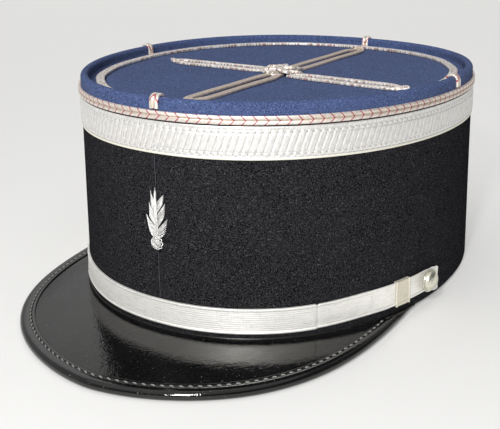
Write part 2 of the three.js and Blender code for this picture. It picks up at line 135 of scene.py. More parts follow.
# Where the four tabs cross the rim, in degrees from the front towards the wearer's left.
TABS = (("front", 1.0), ("left", 91.0), ("back", 178.4), ("right", -94.5))

# The cross's arms: axis and lean in degrees, how far each lies beside the knot's middle, and its
# length as a share of half of the ring's width. Then where it starts and how far its braids lie
# apart.
ARMS = (
    ("front", -90.0, 0.0, 0.0, 0.88, 5.0, 6.9),
    ("left", 0.0, -4.4, -3.2, 0.89, 6.8, 7.8),
    ("back", 90.0, 0.0, 0.0, 1.035, 6.0, 6.9),
    ("right", 180.0, 0.0, -3.2, 0.885, 6.0, 7.8),
)


def between(low, high, share):
    """The value that lies a share of the way from low to high."""
    return low + (high - low) * share


def smooth(value, start, end):
    """0 up to start and 1 from end, with a smooth slope between them."""
    share = np.clip((np.asarray(value, float) - start) / (end - start), 0, 1)
    return share * share * (3 - 2 * share)


def signed_power(value, power):
    return np.sign(value) * np.abs(value) ** power


def from_front(degrees):
    """The outline's angle for degrees from the front towards the wearer's left."""
    return np.radians(np.asarray(degrees, float) - 90)


def unit(vectors):
    return vectors / np.linalg.norm(vectors, axis=-1, keepdims=True)


def laid(points):
    """Points of the upright cap in millimetres, as it rests on the floor, in metres."""
    points = np.asarray(points, float)
    cosine, sine = math.cos(REST_TURN), math.sin(REST_TURN)
    x, y, z = points[..., 0], points[..., 1], points[..., 2]
    turned = np.stack([x, y * cosine + z * sine, z * cosine - y * sine], -1)
    return (turned + REST_SHIFT) / 1000


def rim_height(y):
    """Height of the crest's plane, which falls from front to back."""
    return between(FRONT_HEIGHT, BACK_HEIGHT, (y + HEAD_LENGTH / 2) / HEAD_LENGTH)


def outline(angle, share, out):
    """The crown's outline: share is 0 at the lower edge and 1 at the rim."""
    sine = np.sin(angle)
    half_length = between(HEAD_LENGTH, TOP_LENGTH, share) / 2 + out
    half_width = between(HEAD_WIDTH, TOP_WIDTH, share) / 2 + out
    power = 2 / OVAL_POWER
    x = half_width * signed_power(np.cos(angle), power) * (1 + EGG * sine)
    y = half_length * signed_power(sine, power) - TOP_SHIFT * share
    return x, y


def wall_point(angle, height, out):
    """A point beside the wall, by its height over the lower edge."""
    angle, height, out = np.broadcast_arrays(angle, height, out)
    rim = rim_height(outline(angle, 1, 0)[1])
    x, y = outline(angle, height / rim, out)
    return np.stack([x, y, height.astype(float)], -1)


def rim_point(angle, drop, out):
    """A point near the rim, by its depth under the crest's plane."""
    angle, drop, out = np.broadcast_arrays(angle, drop, out)
    x, y = outline(angle, 1 - 2 * drop / (FRONT_HEIGHT + BACK_HEIGHT), out)
    return np.stack([x, y, rim_height(y) - drop], -1)


def run_length(points):
    """Length along a line of points, at each of them."""
    steps = np.linalg.norm(np.diff(points, axis=0), axis=-1)
    return np.concatenate([[0], np.cumsum(steps)])


def even_turns(step, drop, out):
    """Angles at even steps once round the crown from the back, and the length at each."""
    fine = np.linspace(BACK, BACK + 2 * math.pi, 6001)
    length = run_length(rim_point(fine, drop, out))
    count = int(round(length[-1] / step))
    along = np.linspace(0, length[-1], count + 1)
    return np.interp(along, length, fine), along


def turn_for(length, angle, share):
    """The turn round the outline that covers a given length of it."""
    step = 0.01
    before = np.array(outline(angle - step, share, 0.0))
    after = np.array(outline(angle + step, share, 0.0))
    return length * 2 * step / np.linalg.norm(after - before)


class Skin:
    """Points, faces and lay coordinates of one piece, gathered sheet by sheet. The lay is how far
    a point lies along its strip and across it, in millimetres."""

    def __init__(self):
        self.points = []
        self.faces = []
        self.lays = []
        self.count = 0

    def add_sheet(self, grid, along, across, wrap_rows=False, wrap_columns=False):
        """Rows run across the strip and columns along it."""
        rows, columns = grid.shape[:2]
        row = np.arange(rows if wrap_rows else rows - 1)
        column = np.arange(columns if wrap_columns else columns - 1)
        row, column = np.meshgrid(row, column, indexing="ij")
        corner_row = np.stack([row, row, row + 1, row + 1], -1).reshape(-1, 4)
        corner_column = np.stack([column, column + 1, column + 1, column], -1).reshape(-1, 4)
        faces = (corner_row % rows) * columns + corner_column % columns + self.count
        lay = np.stack([np.asarray(along)[corner_column], np.asarray(across)[corner_row]], -1)
        self.points.append(grid.reshape(-1, 3))
        self.faces.extend(faces.tolist())
        self.lays.append(lay.reshape(-1, 2))
        first = self.count
        self.count += rows * columns
        return first

    def add_cap(self, ring, along=0.0):
        """Closes a loop of points, given by their numbers, with a fan round their middle."""
        everything = np.concatenate(self.points)
        self.points.append(everything[ring].mean(0)[None])
        middle = self.count
        self.count += 1
        for first, second in zip(ring, list(ring[1:]) + [ring[0]]):
            self.faces.append([first, second, middle])
            self.lays.append(np.full((3, 2), along))

    def add_strip(self, grid, along, across):
        """A closed section, whose points are the rows, drawn along the columns and capped."""
        rows, columns = grid.shape[:2]
        first = self.add_sheet(grid, along, across, True)
        for column in (0, columns - 1):
            self.add_cap([first + row * columns + column for row in range(rows)], along[column])

    def make(self, name, finish, replaces=(), crease=40.0):
        mesh = bpy.data.meshes.new(name)
        mesh.from_pydata(laid(np.concatenate(self.points)).tolist(), [], self.faces)
        layer = mesh.uv_layers.new(name=LAY)
        layer.data.foreach_set("uv", np.concatenate(self.lays).astype(np.float32).ravel())
        mesh.materials.append(finish)
        shape = bmesh.new()
        shape.from_mesh(mesh)
        bmesh.ops.remove_doubles(shape, verts=shape.verts, dist=1e-7)
        bmesh.ops.recalc_face_normals(shape, faces=shape.faces)
        shape.to_mesh(mesh)
        shape.free()
        mesh.polygons.foreach_set("use_smooth", [True] * len(mesh.polygons))
        mesh.set_sharp_from_angle(angle=math.radians(crease))
        piece = bpy.data.objects.new(name, mesh)
        bpy.context.scene.collection.objects.link(piece)
        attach(piece, BODY)
        if replaces:
            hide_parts(*replaces)


def make_round(name, finish, node, grid, along, across, crease=40.0):
    """A piece that closes on itself both ways, in place of one node."""
    skin = Skin()
    skin.add_sheet(grid, along, across, True, True)
    skin.make(name, finish, [node], crease)


def make_strip(name, finish, node, grid, along, across, crease=40.0):
    """A piece that is one strip with two ends, in place of one node."""
    skin = Skin()
    skin.add_strip(grid, along, across)
    skin.make(name, finish, [node], crease)


def add_thread(skin, points, radius, sides=8):
    """A round thread along points. The radius may change from point to point."""
    points = np.asarray(points, float)
    ahead = unit(np.gradient(points, axis=0))
    guide = np.array([0.0, 0.0, 1.0])
    if np.abs(ahead @ guide).max() > 0.95:
        guide = unit(np.array([0.3, 1.0, 0.2]))
    side = unit(np.cross(ahead, guide))
    up = np.cross(side, ahead)
    turn = np.arange(sides) * 2 * math.pi / sides
    radius = np.broadcast_to(radius, len(points))
    grid = (points[None] + np.cos(turn)[:, None, None] * side[None] * radius[None, :, None]
            + np.sin(turn)[:, None, None] * up[None] * radius[None, :, None])
    across = np.arange(sides + 1) / sides * 2 * math.pi * float(radius.max())
    skin.add_strip(grid, run_length(points), across)


def curve_between(start, bend, end, count):
    """Points of a curve that leaves start towards bend and arrives at end from it."""
    share = np.linspace(0, 1, count)[:, None]
    start, bend, end = (np.asarray(p, float) for p in (start, bend, end))
    return (1 - share) ** 2 * start + 2 * share * (1 - share) * bend + share ** 2 * end


class Wire:
    """An output of a shader node that is used in sums as if it were a number."""

    def __init__(self, finish, socket):
        self.finish = finish
        self.socket = socket

    def maths(self, operation, *terms):
        sockets = dict(enumerate(terms))
        return self.finish.node("ShaderNodeMath", {"operation": operation}, sockets)

    def __add__(self, other):
        return self.maths("ADD", self, other)

    __radd__ = __add__

    def __sub__(self, other):
        return self.maths("SUBTRACT", self, other)

    def __rsub__(self, other):
        return self.maths("SUBTRACT", other, self)

    def __mul__(self, other):
        return self.maths("MULTIPLY", self, other)

    __rmul__ = __mul__

    def __truediv__(self, other):
        return self.maths("DIVIDE", self, other)

    def __mod__(self, other):
        return self.maths("FLOORED_MODULO", self, other)

    def __pow__(self, other):
        return self.maths("POWER", self, other)

    def __abs__(self):
        return self.maths("ABSOLUTE", self)

    def wave(self, pitch):
        """Rises and falls between 0 and 1 once in each pitch."""
        return self.maths("SINE", self * (2 * math.pi / pitch)) * 0.5 + 0.5

    def rise(self, start, end):
        """0 up to start and 1 from end, with a smooth slope between them."""
        settings = {"interpolation_type": "SMOOTHSTEP"}
        return self.finish.node("ShaderNodeMapRange", settings,
                                {"Value": self, "From Min": start, "From Max": end})

    def under(self, share, colour, lightness=1.0):
        """This colour, covered by another one as far as share says."""
        return self.finish.mix(share, self, tint(colour, lightness))


class Finish:
    """A material whose nodes are added one by one."""

    def __init__(self, name, world=None):
        self.material = world or bpy.data.materials.new(name)
        self.material.use_nodes = True
        self.tree = self.material.node_tree
        self.tree.nodes.clear()

    def node(self, kind, settings=(), sockets=(), output=0):
        node = self.tree.nodes.new(kind)
        for name, value in dict(settings).items():
            setattr(node, name, value)
        for name, value in dict(sockets).items():
            if isinstance(value, Wire):
                self.tree.links.new(value.socket, node.inputs[name])
            else:
                node.inputs[name].default_value = value
        return Wire(self, node.outputs[output])

    def place(self):
        """The point on the resting cap, in metres."""
        return self.node("ShaderNodeTexCoord", output="Object")

    def lay(self):
        """How far along its strip and across it the point lies, in millimetres."""
        lay = self.node("ShaderNodeUVMap", {"uv_map": LAY})
        parts = {"Vector": lay}
        along = self.node("ShaderNodeSeparateXYZ", (), parts, "X")
        across = self.node("ShaderNodeSeparateXYZ", (), parts, "Y")
        return along, across

    def at(self, along, across):
        return self.node("ShaderNodeCombineXYZ", (), {"X": along, "Y": across})

    def noise(self, vector, scale, detail=2.0, roughness=0.5):
        sockets = {"Vector": vector, "Scale": scale, "Detail": detail, "Roughness": roughness}
        return self.node("ShaderNodeTexNoise", (), sockets)

    def strewn(self, along, across, scale, detail, roughness):
        """Noise over the lay."""
        return self.noise(self.at(along, across), scale, detail, roughness)

    def stretched(self, vector, stretch):
        sockets = {"Vector": vector, "Scale": stretch}
        return self.node("ShaderNodeMapping", (), sockets)

    def mix(self, share, first, second):
        settings = {"data_type": "RGBA"}
        return self.node("ShaderNodeMix", settings, {0: share, 6: first, 7: second}, 2)

    def patches(self, share, colour, dark, pale):
        """One colour, darker in some places and paler in others."""
        return self.mix(share, tint(colour, dark), tint(colour, pale))

    def bump(self, height, distance, strength=1.0):
        """Distance is the depth in millimetres that a height of 1 stands for."""
        sockets = {"Height": height, "Distance": distance / 1000, "Strength": strength}
        return self.node("ShaderNodeBump", (), sockets)

    def done(self, **sockets):
        named = {name.replace("_", " "): value for name, value in sockets.items()}
        shader = self.node("ShaderNodeBsdfPrincipled", (), named)
        return self.shown(shader)

    def shown(self, shader, kind="ShaderNodeOutputMaterial"):
        output = self.tree.nodes.new(kind)
        self.tree.links.new(shader.socket, output.inputs["Surface"])
        return self.material


def tint(colour, lightness=1.0):
    """A colour with its alpha, made lighter or darker."""
    return tuple(min(part * lightness, 1.0) for part in colour) + (1.0,)


def napped_cloth(name, colour, fibre, nap_depth, contrast, sheen):
    """Milled wool cloth: a dense nap with paler fibre ends, a little worn and dusty."""
    finish = Finish(name)
    place = finish.place()
    clumps = finish.noise(place, 2300, 2, 0.6)
    fibres = finish.noise(finish.stretched(place, (1.0, 1.0, 1.6)), 3300, 2, 0.6)
    level = finish.noise(finish.stretched(place, (0.4, 0.4, 1.3)), 2100, 1, 0.5)
    upright = finish.noise(finish.stretched(place, (1.2, 1.2, 0.4)), 2100, 1, 0.5)
    mottle = finish.noise(place, 60, 4, 0.6)
    shade = finish.patches(clumps.rise(0.42, 0.58), colour, 1 - contrast, 1 + contrast)
    shade = shade.under(mottle.rise(0.3, 0.75) * 0.35, colour, 1.35)
    tips = fibres.rise(0.54, 0.66) * clumps.rise(0.4, 0.6)
    shade = shade.under(tips * 0.7, fibre)
    hairs = level.rise(0.64, 0.72) + upright.rise(0.66, 0.74)
    shade = shade.under(hairs * fibres.rise(0.4, 0.55) * 0.7, fibre, 1.7)
    normal = finish.bump(clumps * 0.6 + fibres * 0.4, nap_depth, 0.9)
    return finish.done(Base_Color=shade, Roughness=0.9, Normal=normal, Specular_IOR_Level=0.0,
                       Sheen_Weight=sheen, Sheen_Roughness=0.6, Sheen_Tint=tint((0.8, 0.82, 0.85)))


def woven_silver(name, colour, selvedge, pitch):
    """Metal-wrapped thread woven in slanting bars, with a row of small eyes along each side."""
    finish = Finish(name)
    along, across = finish.lay()
    slanted = along - across * LACE_SLOPE
    bar = abs(slanted % pitch / pitch * 2 - 1)
    low, high = LACE_BORDER, LACE_WIDTH - LACE_BORDER
    body = across.rise(low - 0.2, low + 0.2) * (1 - across.rise(high - 0.2, high + 0.2))
    streaks = finish.strewn(slanted * 1.4, across * 0.3, 1.6, 3, 0.65)
    glints = finish.strewn(along * 1.2, across * 1.2, 1.9, 2, 0.6)
    shade = finish.patches(streaks.rise(0.3, 0.7), colour, 0.8, 1.14)
    shade = shade.under(glints.rise(0.55, 0.7) * 0.3, (0.55, 0.54, 0.66))
    # Painted shade in the grooves between the slanting bars.
    shade = shade.under(bar.rise(0.82, 0.98) * body * 0.5, colour, 0.4)
    shade = shade.under((1 - bar).rise(0.84, 1.0) * body * 0.22, colour, 0.36)
    for middle in LACE_EYES:
        beside = (along - middle * LACE_SLOPE + pitch / 2) % pitch - pitch / 2
        away = ((beside * 1.15) ** 2 + (across - middle) ** 2) ** 0.5
        shade = shade.under((1 - away.rise(0.2, 0.55)) * 0.62, colour, 0.3)
        shade = shade.under((1 - abs(across - middle - 0.85).rise(0.05, 0.3)) * bar * 0.22,
                            colour, 0.35)
    shade = shade.under((1 - across.rise(0.7, 0.95)) * 0.75, selvedge)
    line = 1 - abs(across - 1.02).rise(0.04, 0.2)
    shade = shade.under(line * (0.3 + 0.5 * (1 - bar)), colour, 0.28)
    normal = finish.bump(streaks * 0.5 + glints * 0.5, 0.12, 0.8)
    rough = 0.32 + glints * 0.2 + (1 - across.rise(0.7, 1.1)) * 0.2
    return finish.done(Base_Color=shade, Roughness=rough, Metallic=0.62, Normal=normal)


def soutache_silver(name, colour, shade_tint, fleck, pitch, strength):
    """Two-ridged braid in metal thread, with painted shade along the groove between its ridges and
    between its windings, painted glints, and a red thread that shows in chevrons."""
    finish = Finish(name)
    along, across = finish.lay()
    side = abs(across)
    winding = (along + side * 0.9).wave(0.62)
    worn = finish.strewn(along, across, 0.8, 3, 0.65)
    glints = finish.strewn(along * 1.3, across * 1.3, 1.7, 2, 0.6)
    shade = finish.patches(worn.rise(0.3, 0.7), colour, 0.82, 1.12)
    # Painted shade: the groove between the ridges and the troughs between the windings are
    # darkened.
    shade = shade.under((1 - side.rise(0.1, 1.0)) * 0.5, shade_tint)
    shade = shade.under((1 - winding).rise(0.5, 1.0) * 0.2, shade_tint, 0.6)
    shade = shade.under(glints.rise(0.56, 0.68) * 0.5, (0.95, 0.93, 0.9))
    chevron = abs((along + side + worn * 0.3) % pitch - pitch / 2)
    red = 1 - chevron.rise(0.16, 0.36)
    shade = shade.under(red * strength, fleck)
    normal = finish.bump(winding * 0.7 + glints * 0.3, 0.09, 0.8)
    return finish.done(Base_Color=shade, Roughness=0.34 + worn * 0.15, Metallic=0.75 - red * 0.6,
                       Normal=normal)


def tangled_silver(name, colour, shade_tint, fleck):
    """The same braid where it is knotted: its strands roll over, glitter and show the red. The
    glitter is painted highlight, and shade is painted in random patches and between the strands.
    """
    finish = Finish(name)
    along, across = finish.lay()
    strands = (along * 0.8 + abs(across) * 1.5).wave(1.5)
    grain = finish.strewn(along, across, 0.8, 3, 0.7)
    glints = finish.strewn(along * 0.6, across * 1.3, 1.0, 2, 0.6)
    red = finish.strewn(along * 0.5 + 7, across * 1.1, 0.7, 2, 0.6)
    # Painted shade in random patches and between the strands, then painted glints.
    shade = finish.mix(grain.rise(0.36, 0.56), tint(shade_tint, 0.8), tint(colour, 0.95))
    shade = shade.under((1 - strands).rise(0.45, 1.0) * 0.5, shade_tint, 0.4)
    shade = shade.under(red.rise(0.56, 0.64) * 0.6, fleck)
    shade = shade.under(glints.rise(0.52, 0.6) * 0.9, (0.97, 0.95, 0.93))
    normal = finish.bump(strands * 0.6 + grain * 0.4, 0.16, 0.9)
    return finish.done(Base_Color=shade, Roughness=0.3 + grain * 0.2, Metallic=0.6, Normal=normal)


def strap_silver(name, colour, shadow):
    """Flat metal lace of the strap: fine threads that run along it, and a corded lower edge."""
    finish = Finish(name)
    along, across = finish.lay()
    threads = across.wave(0.42)
    weft = along.wave(0.7)
    fine = finish.strewn(along * 0.12, across * 2.2, 1.5, 3, 0.6)
    worn = finish.strewn(along * 0.1, across * 0.25, 1.0, 3, 0.6)
    cross = finish.strewn(along * 1.6, across * 0.3, 1.0, 2, 0.5)
    shade = finish.patches(fine.rise(0.3, 0.7), colour, 0.88, 1.08)
    shade = shade.under((1 - threads) * 0.12, shadow)
    shade = shade.under(worn.rise(0.5, 0.7) * 0.34, shadow, 1.3)
    shade = shade.under(cross.rise(0.55, 0.72) * 0.2, shadow)
    cord = 1 - abs(across + STRAP_WIDTH / 2 - 1.2).rise(0.06, 0.25)
    shade = shade.under(cord * 0.6, shadow)
    normal = finish.bump(threads * 0.75 + weft * 0.25, 0.05, 0.6)
    return finish.done(Base_Color=shade, Roughness=0.4 + worn * 0.18, Metallic=0.5, Normal=normal)


def bullion(name, colour, pitch):
    """Coiled metal wire as used in embroidery."""
    finish = Finish(name)
    along, across = finish.lay()
    coils = (along + across * 0.4).wave(pitch)
    worn = finish.noise(finish.place(), 1100, 3, 0.6)
    shade = finish.patches(worn.rise(0.34, 0.66), colour, 0.68, 1.1)
    # Painted shade between the coils.
    shade = shade.under((1 - coils) * 0.35, colour, 0.3)
    normal = finish.bump(coils, 0.08, 0.8)
    return finish.done(Base_Color=shade, Roughness=0.3, Metallic=0.5, Normal=normal)


def patent_leather(name, colour, dust, gloss, dusting, coat):
    """Lacquered leather: glossy, with faint ripples, fine grain, scratches and specks of dust."""
    finish = Finish(name)
    place = finish.place()
    ripple = finish.noise(place, 45, 3, 0.5)
    pebble = finish.noise(place, 380, 2, 0.6)
    grain = finish.noise(place, 1500, 2, 0.6)
    scuffs = finish.noise(finish.stretched(place, (1.0, 7.0, 1.0)), 110, 4, 0.65)
    specks = finish.noise(place, 1300, 1, 0.4).rise(0.74, 0.79)
    shade = finish.patches(ripple.rise(0.3, 0.7), colour, 0.7, 1.4)
    shade = shade.under(scuffs.rise(0.58, 0.8) * 0.3, dust, 0.25)
    shade = shade.under(grain.rise(0.5, 0.8) * dusting, dust, 0.5)
    shade = shade.under(specks * 0.6, dust)
    rough = gloss + scuffs.rise(0.5, 0.8) * 0.03 + specks * 0.4
    normal = finish.bump(ripple + pebble * 1.5 + grain * 0.7, 0.2, 0.3)
    return finish.done(Base_Color=shade, Roughness=rough, Normal=normal, IOR=1.45,
                       Coat_Weight=coat, Coat_Roughness=0.1, Coat_IOR=1.5,
                       Specular_Tint=tint((1.0, 0.98, 0.93)))


def pale_gilt(name, colour):
    """Thin pale gilding on a pressed button, rubbed and stained in patches."""
    finish = Finish(name)
    place = finish.place()
    wear = finish.noise(place, 320, 4, 0.6)
    stains = finish.noise(place, 900, 3, 0.6)
    shade = finish.patches(wear.rise(0.35, 0.7), colour, 0.75, 1.15)
    shade = shade.under(stains.rise(0.58, 0.75) * 0.5, (0.3, 0.26, 0.17))
    normal = finish.bump(wear, 0.05, 0.5)
    return finish.done(Base_Color=shade, Roughness=0.2 + stains * 0.2, Metallic=0.92, Normal=normal)


def waxed_thread(name, colour):
    """Twisted sewing thread."""
    finish = Finish(name)
    along, across = finish.lay()
    twist = (along + across * 0.8).wave(0.45)
    # Painted shade and highlight along the twist: darker in its grooves, lighter on its crests.
    shade = finish.patches(twist, colour, 0.55, 1.15)
    normal = finish.bump(twist, 0.05, 0.7)
    return finish.done(Base_Color=shade, Roughness=0.55, Normal=normal)


def pale_floor(name, colour):
    """A plain, faintly clouded surface."""
    finish = Finish(name)
    cloud = finish.noise(finish.place(), 3, 3, 0.5)
    grain = finish.noise(finish.place(), 260, 2, 0.5)
    shade = finish.patches(cloud, colour, 0.985, 1.0)
    shade = shade.under(grain * 0.05, colour, 0.9)
    return finish.done(Base_Color=shade, Roughness=0.7, Specular_IOR_Level=0.3)


def colour_setting(name, description, default):
    return FloatVectorProperty(name=name, description=description, subtype="COLOR", size=3,
                               min=0, max=1, default=default)


def number_setting(name, description, default, low=-1000.0, high=1000.0, **kind):
    return FloatProperty(name=name, description=description, default=default,
                         min=low, max=high, **kind)


class KepiCloth(bpy.types.PropertyGroup):
    """Colours and nap of the two cloths."""

    wall_colour: colour_setting("Wall", "Cloth of the crown's wall", (0.0125, 0.0125, 0.0138))
    wall_fibre: colour_setting(
        "Wall fibres", "Fibre ends that catch the light", (0.062, 0.062, 0.068))
    top_colour: colour_setting("Top", "Cloth of the top and its rim", (0.047, 0.067, 0.147))
    top_fibre: colour_setting("Top fibres", "Fibre ends on the top", (0.1, 0.14, 0.29))
    nap: number_setting("Nap", "Depth of the nap, in millimetres", 0.22, 0, 1)


class KepiTrim(bpy.types.PropertyGroup):
    """Lace, braid, strap, buttons and embroidery."""

    lace_colour: colour_setting("Lace", "Metal thread of the lace", (0.765, 0.75, 0.725))
    selvedge_colour: colour_setting("Selvedge", "Lower edge of the lace", (0.86, 0.83, 0.7))
    rib_pitch: number_setting(
        "Rib pitch", "Distance between the lace's slanting bars, in millimetres", 2.76, 1, 10)
    braid_colour: colour_setting("Braid", "Metal thread of the braid", (0.86, 0.79, 0.72))
    # Painted shade, not a thread of its own: it darkens the braid's groove, the troughs between
    # windings and strands, and patches of the knot.
    braid_shade_colour: colour_setting(
        "Braid's middle", "Dull thread along the braid's middle", (0.5, 0.39, 0.28))
    # Painted shade: a darker copy of the braid for the front and back arms, whose ridges catch no
    # highlight; it is the same braid as the side arms.
    shaded_arm_colour: colour_setting(
        "Dull braid", "Tarnished braid of the front and back arms", (0.7, 0.6, 0.51))
    # Painted light: a lighter copy of the braid for the knot, the side arms and the ring.
    knot_colour: colour_setting(
        "Knot", "Brighter braid of the knot and the side arms", (0.93, 0.88, 0.84))
    fleck_colour: colour_setting("Fleck", "Red thread in the braid", (0.36, 0.02, 0.05))
    chevron_pitch: number_setting(
        "Chevron pitch", "Distance between the braid's chevrons, in millimetres", 4.2, 1, 20)
    strap_colour: colour_setting("Strap", "Metal thread of the strap", (0.9, 0.885, 0.84))
    keeper_colour: colour_setting("Keepers", "Lace of the two keepers", (0.7, 0.65, 0.54))
    button_colour: colour_setting("Buttons", "Gilding of the buttons", (0.8, 0.78, 0.66))
    thread_colour: colour_setting("Badge", "Silver wire of the badge", (0.88, 0.87, 0.85))


class KepiPeak(bpy.types.PropertyGroup):
    """Leather, stitching and gloss of the peak."""

    leather_colour: colour_setting("Leather", "Lacquered leather", (0.004, 0.004, 0.0045))
    dust_colour: colour_setting("Dust", "Dust on the lacquer", (0.2, 0.19, 0.165))
    stitch_colour: colour_setting("Stitches", "Waxed thread of the stitching", (0.23, 0.225, 0.21))
    stitch_pitch: number_setting(
        "Stitch pitch", "Distance between stitches, in millimetres", 3.5, 1, 10)
    gloss: number_setting("Roughness", "Roughness of the lacquer", 0.03, 0, 1)


class KepiStage(bpy.types.PropertyGroup):
    """Floor, light and camera."""

    floor_colour: colour_setting("Floor", "Colour of the floor", (0.78, 0.775, 0.76))
    key_power: number_setting(
        "Key light", "Strength of the light from beside the camera", 3.0, 0, 100)
    near_power: number_setting(
        "Near light", "Power of the small light just over the camera", 0.8, 0, 100, unit="POWER")
    fill_power: number_setting(
        "Fill lights", "Power of each light behind the cap", 1.5, 0, 1000, unit="POWER")
    ceiling: number_setting("Ceiling", "Strength of the wide soft light from above", 0.7, 0, 10)
    surround: number_setting("Surround", "Brightness of the pale surround", 0.45, 0, 1)
    lens: number_setting("Lens", "Focal length of the camera, in millimetres", 61.834, 1, 500)
    azimuth: number_setting(
        "Azimuth", "Direction of the camera round the cap from its front",
        math.radians(30.368), subtype="ANGLE")
    elevation: number_setting(
        "Elevation", "Height of the camera over the horizon", math.radians(20.157), subtype="ANGLE")
    roll: number_setting(
        "Roll", "Turn of the camera about its own axis", math.radians(-0.492), subtype="ANGLE")
    distance: number_setting(
        "Distance", "Camera to the point that it looks at", 0.42659, 0.1, 10, unit="LENGTH")
    aside: number_setting(
        "Aside", "How far right of the cap's middle the camera looks", -0.014476, unit="LENGTH")
    height: number_setting(
        "Height", "Height on the cap's axis that the camera looks at", 0.017217, unit="LENGTH")


def rim_surface(foot):
    """The rim from the foot of its outer face over the crest and down to the panel: outwards,
    depth under the crest, and the direction that the surface faces."""
    radius = RIM_THICKNESS / 2
    rows = [(0.0, drop, 1.0, 0.0) for drop in np.linspace(foot, radius, 5)[:-1]]
    for turn in np.linspace(0, math.pi, 17):
        rows.append((radius * (math.cos(turn) - 1), radius * (1 - math.sin(turn)),
                     math.cos(turn), math.sin(turn)))
    for turn in np.linspace(0, math.pi / 2, 8):
        rows.append((-RIM_THICKNESS - RIM_FILLET * (1 - math.cos(turn)),
                     TOP_RECESS - RIM_FILLET * (1 - math.sin(turn)),
                     -math.cos(turn), math.sin(turn)))
    return np.array(rows)


class KEPI_OT_wall(bpy.types.Operator):
    """Build the crown's wall in black napped cloth"""

    bl_idname = "kepi.wall"
    bl_label = "Wall"

    def execute(self, context):
        cloth = context.scene.kepi_cloth
        seam_turn = float(from_front(SEAM_ANGLE)) + 2 * math.pi
        base = np.linspace(BACK, BACK + 2 * math.pi, 401)[:-1]
        near = seam_turn + np.linspace(-0.03, 0.03, 49)
        turns = np.unique(np.concatenate([base[np.abs(base - seam_turn) > 0.032], near]))
        top = JOINT_DROP + GAP / 2
        corner = [(WALL_EDGE * (1 - math.sin(t)), WALL_EDGE * (1 - math.cos(t)))
                  for t in np.linspace(0, math.pi / 2, 5)]
        # Outwards, height over the lower edge, and share of the way from there to the top.
        section = [(-back, up, 0.0) for back, up in corner] + [(0.0, 1.0, 0.0)]
        section += [(0.0, WALL_EDGE, share) for share in np.linspace(0.02, 1, 46)]
        section += [(-WALL, WALL_EDGE, share) for share in np.linspace(1, 0.02, 24)]
        section += [(up - WALL, back, 0.0) for back, up in corner]
        section = np.array(section)
        head = rim_point(turns, top, 0.0)[:, 2]
        out, low, share = section[:, 0, None], section[:, 1, None], section[:, 2, None]
        height = low + (head[None] - low) * share
        grid_turn = np.broadcast_to(turns, height.shape)
        waves = 0.12 * np.sin(5 * grid_turn + 0.05 * height) + 0.1 * np.sin(11 * grid_turn + 1.7)
        aside = grid_turn - seam_turn
        seam = -0.3 * np.exp(-(aside / 0.0035) ** 2)
        lip = 0.12 * np.exp(-((np.abs(aside) - 0.011) / 0.006) ** 2)
        inside_ends = np.sin(math.pi * np.clip(share, 0, 1)) ** 0.3
        relief = (waves * 0.6 + (seam + lip) * (out > -1)) * inside_ends
        relief = np.where(share > 0, relief, 0)
        grid = wall_point(grid_turn, height, out + relief)
        along = np.append(turns, turns[0] + 2 * math.pi) * 95
        across = np.arange(len(section) + 1) * 2.0
        finish = napped_cloth("black cloth", cloth.wall_colour, cloth.wall_fibre, cloth.nap,
                              contrast=0.9, sheen=0.0)
        make_round("crown_wall_cloth", finish, "crown_wall", grid, along, across)
        return {"FINISHED"}


class KEPI_OT_top(bpy.types.Operator):
    """Build the blue top: its raised rim and sunken panel"""

    bl_idname = "kepi.top"
    bl_label = "Top"

    def execute(self, context):
        cloth = context.scene.kepi_cloth
        turns, along = even_turns(1.5, 0, 0)
        turns = turns[:-1]
        foot = JOINT_DROP - GAP / 2
        under = TOP_RECESS + PANEL_THICKNESS
        surface = rim_surface(foot)
        rim = rim_point(turns[None], surface[:, 1, None], surface[:, 0, None])
        panel_edge = -RIM_THICKNESS - RIM_FILLET
        middle = np.array([0, -TOP_SHIFT, rim_height(-TOP_SHIFT)])
        shares = np.linspace(1, 0.02, 42)[:, None, None]

        def flat(out, drop):
            edge = rim_point(turns, drop, out)[None]
            centre = middle - [0, 0, drop]
            return centre + (edge - centre) * shares

        panel = flat(panel_edge, TOP_RECESS)
        swell = 0.12 * np.sin(panel[..., 0] / 13 + 0.7) * np.sin(panel[..., 1] / 17 + 0.3)
        panel[..., 2] += swell * np.clip((1 - shares[..., 0]) * 6, 0, 1)
        bottom = flat(-WALL - GAP, under)[::-1]
        wall = rim_point(turns[None], np.array([[foot + (under - foot) * 0.5]]), -WALL)
        grid = np.concatenate([rim, panel[1:]])
        skin = Skin()
        first = skin.add_sheet(grid, along, np.arange(len(grid)) * 1.0, False, True)
        columns = len(turns)
        skin.add_cap([first + (len(grid) - 1) * columns + i for i in range(columns)])
        hidden = np.concatenate([bottom, wall, rim[:1]])
        first = skin.add_sheet(hidden, along, np.arange(len(hidden)) * 1.0, False, True)
        skin.add_cap([first + i for i in range(columns)])
        finish = napped_cloth("blue cloth", cloth.top_colour, cloth.top_fibre, cloth.nap,
                              contrast=0.5, sheen=0.03)
        skin.make("crown_top_cloth", finish, ["crown_top"], 60)
        return {"FINISHED"}


# Width of the lace's borders, how far up it the middles of its eyes lie, and how far its ground
# stands off the wall.
LACE_BORDER = 2.9
LACE_EYES = (2.15, LACE_WIDTH - 2.15)
LACE_STAND = 0.3


def lace_relief(along, across, pitch):
    """Height of the lace over its ground: slanting bars, beads between the eyes, two selvedges."""
    bar = np.abs(2 * ((along - LACE_SLOPE * across) % pitch) / pitch - 1)
    low, high = LACE_BORDER, LACE_WIDTH - LACE_BORDER
    body = smooth(across, low - 0.2, low + 0.3) * (1 - smooth(across, high - 0.3, high + 0.2))
    relief = 0.36 * (1 - bar ** 5) * body
    for middle in LACE_EYES:
        between_eyes = (1 - np.cos(2 * math.pi * (along - LACE_SLOPE * middle) / pitch)) / 2
        relief = relief + 0.36 * between_eyes * np.exp(-((across - middle) / 0.55) ** 2)
    from_edge = np.minimum(across, LACE_WIDTH - across)
    return relief + 0.26 * np.sqrt(np.clip(1 - ((from_edge - 0.45) / 0.5) ** 2, 0, 1))


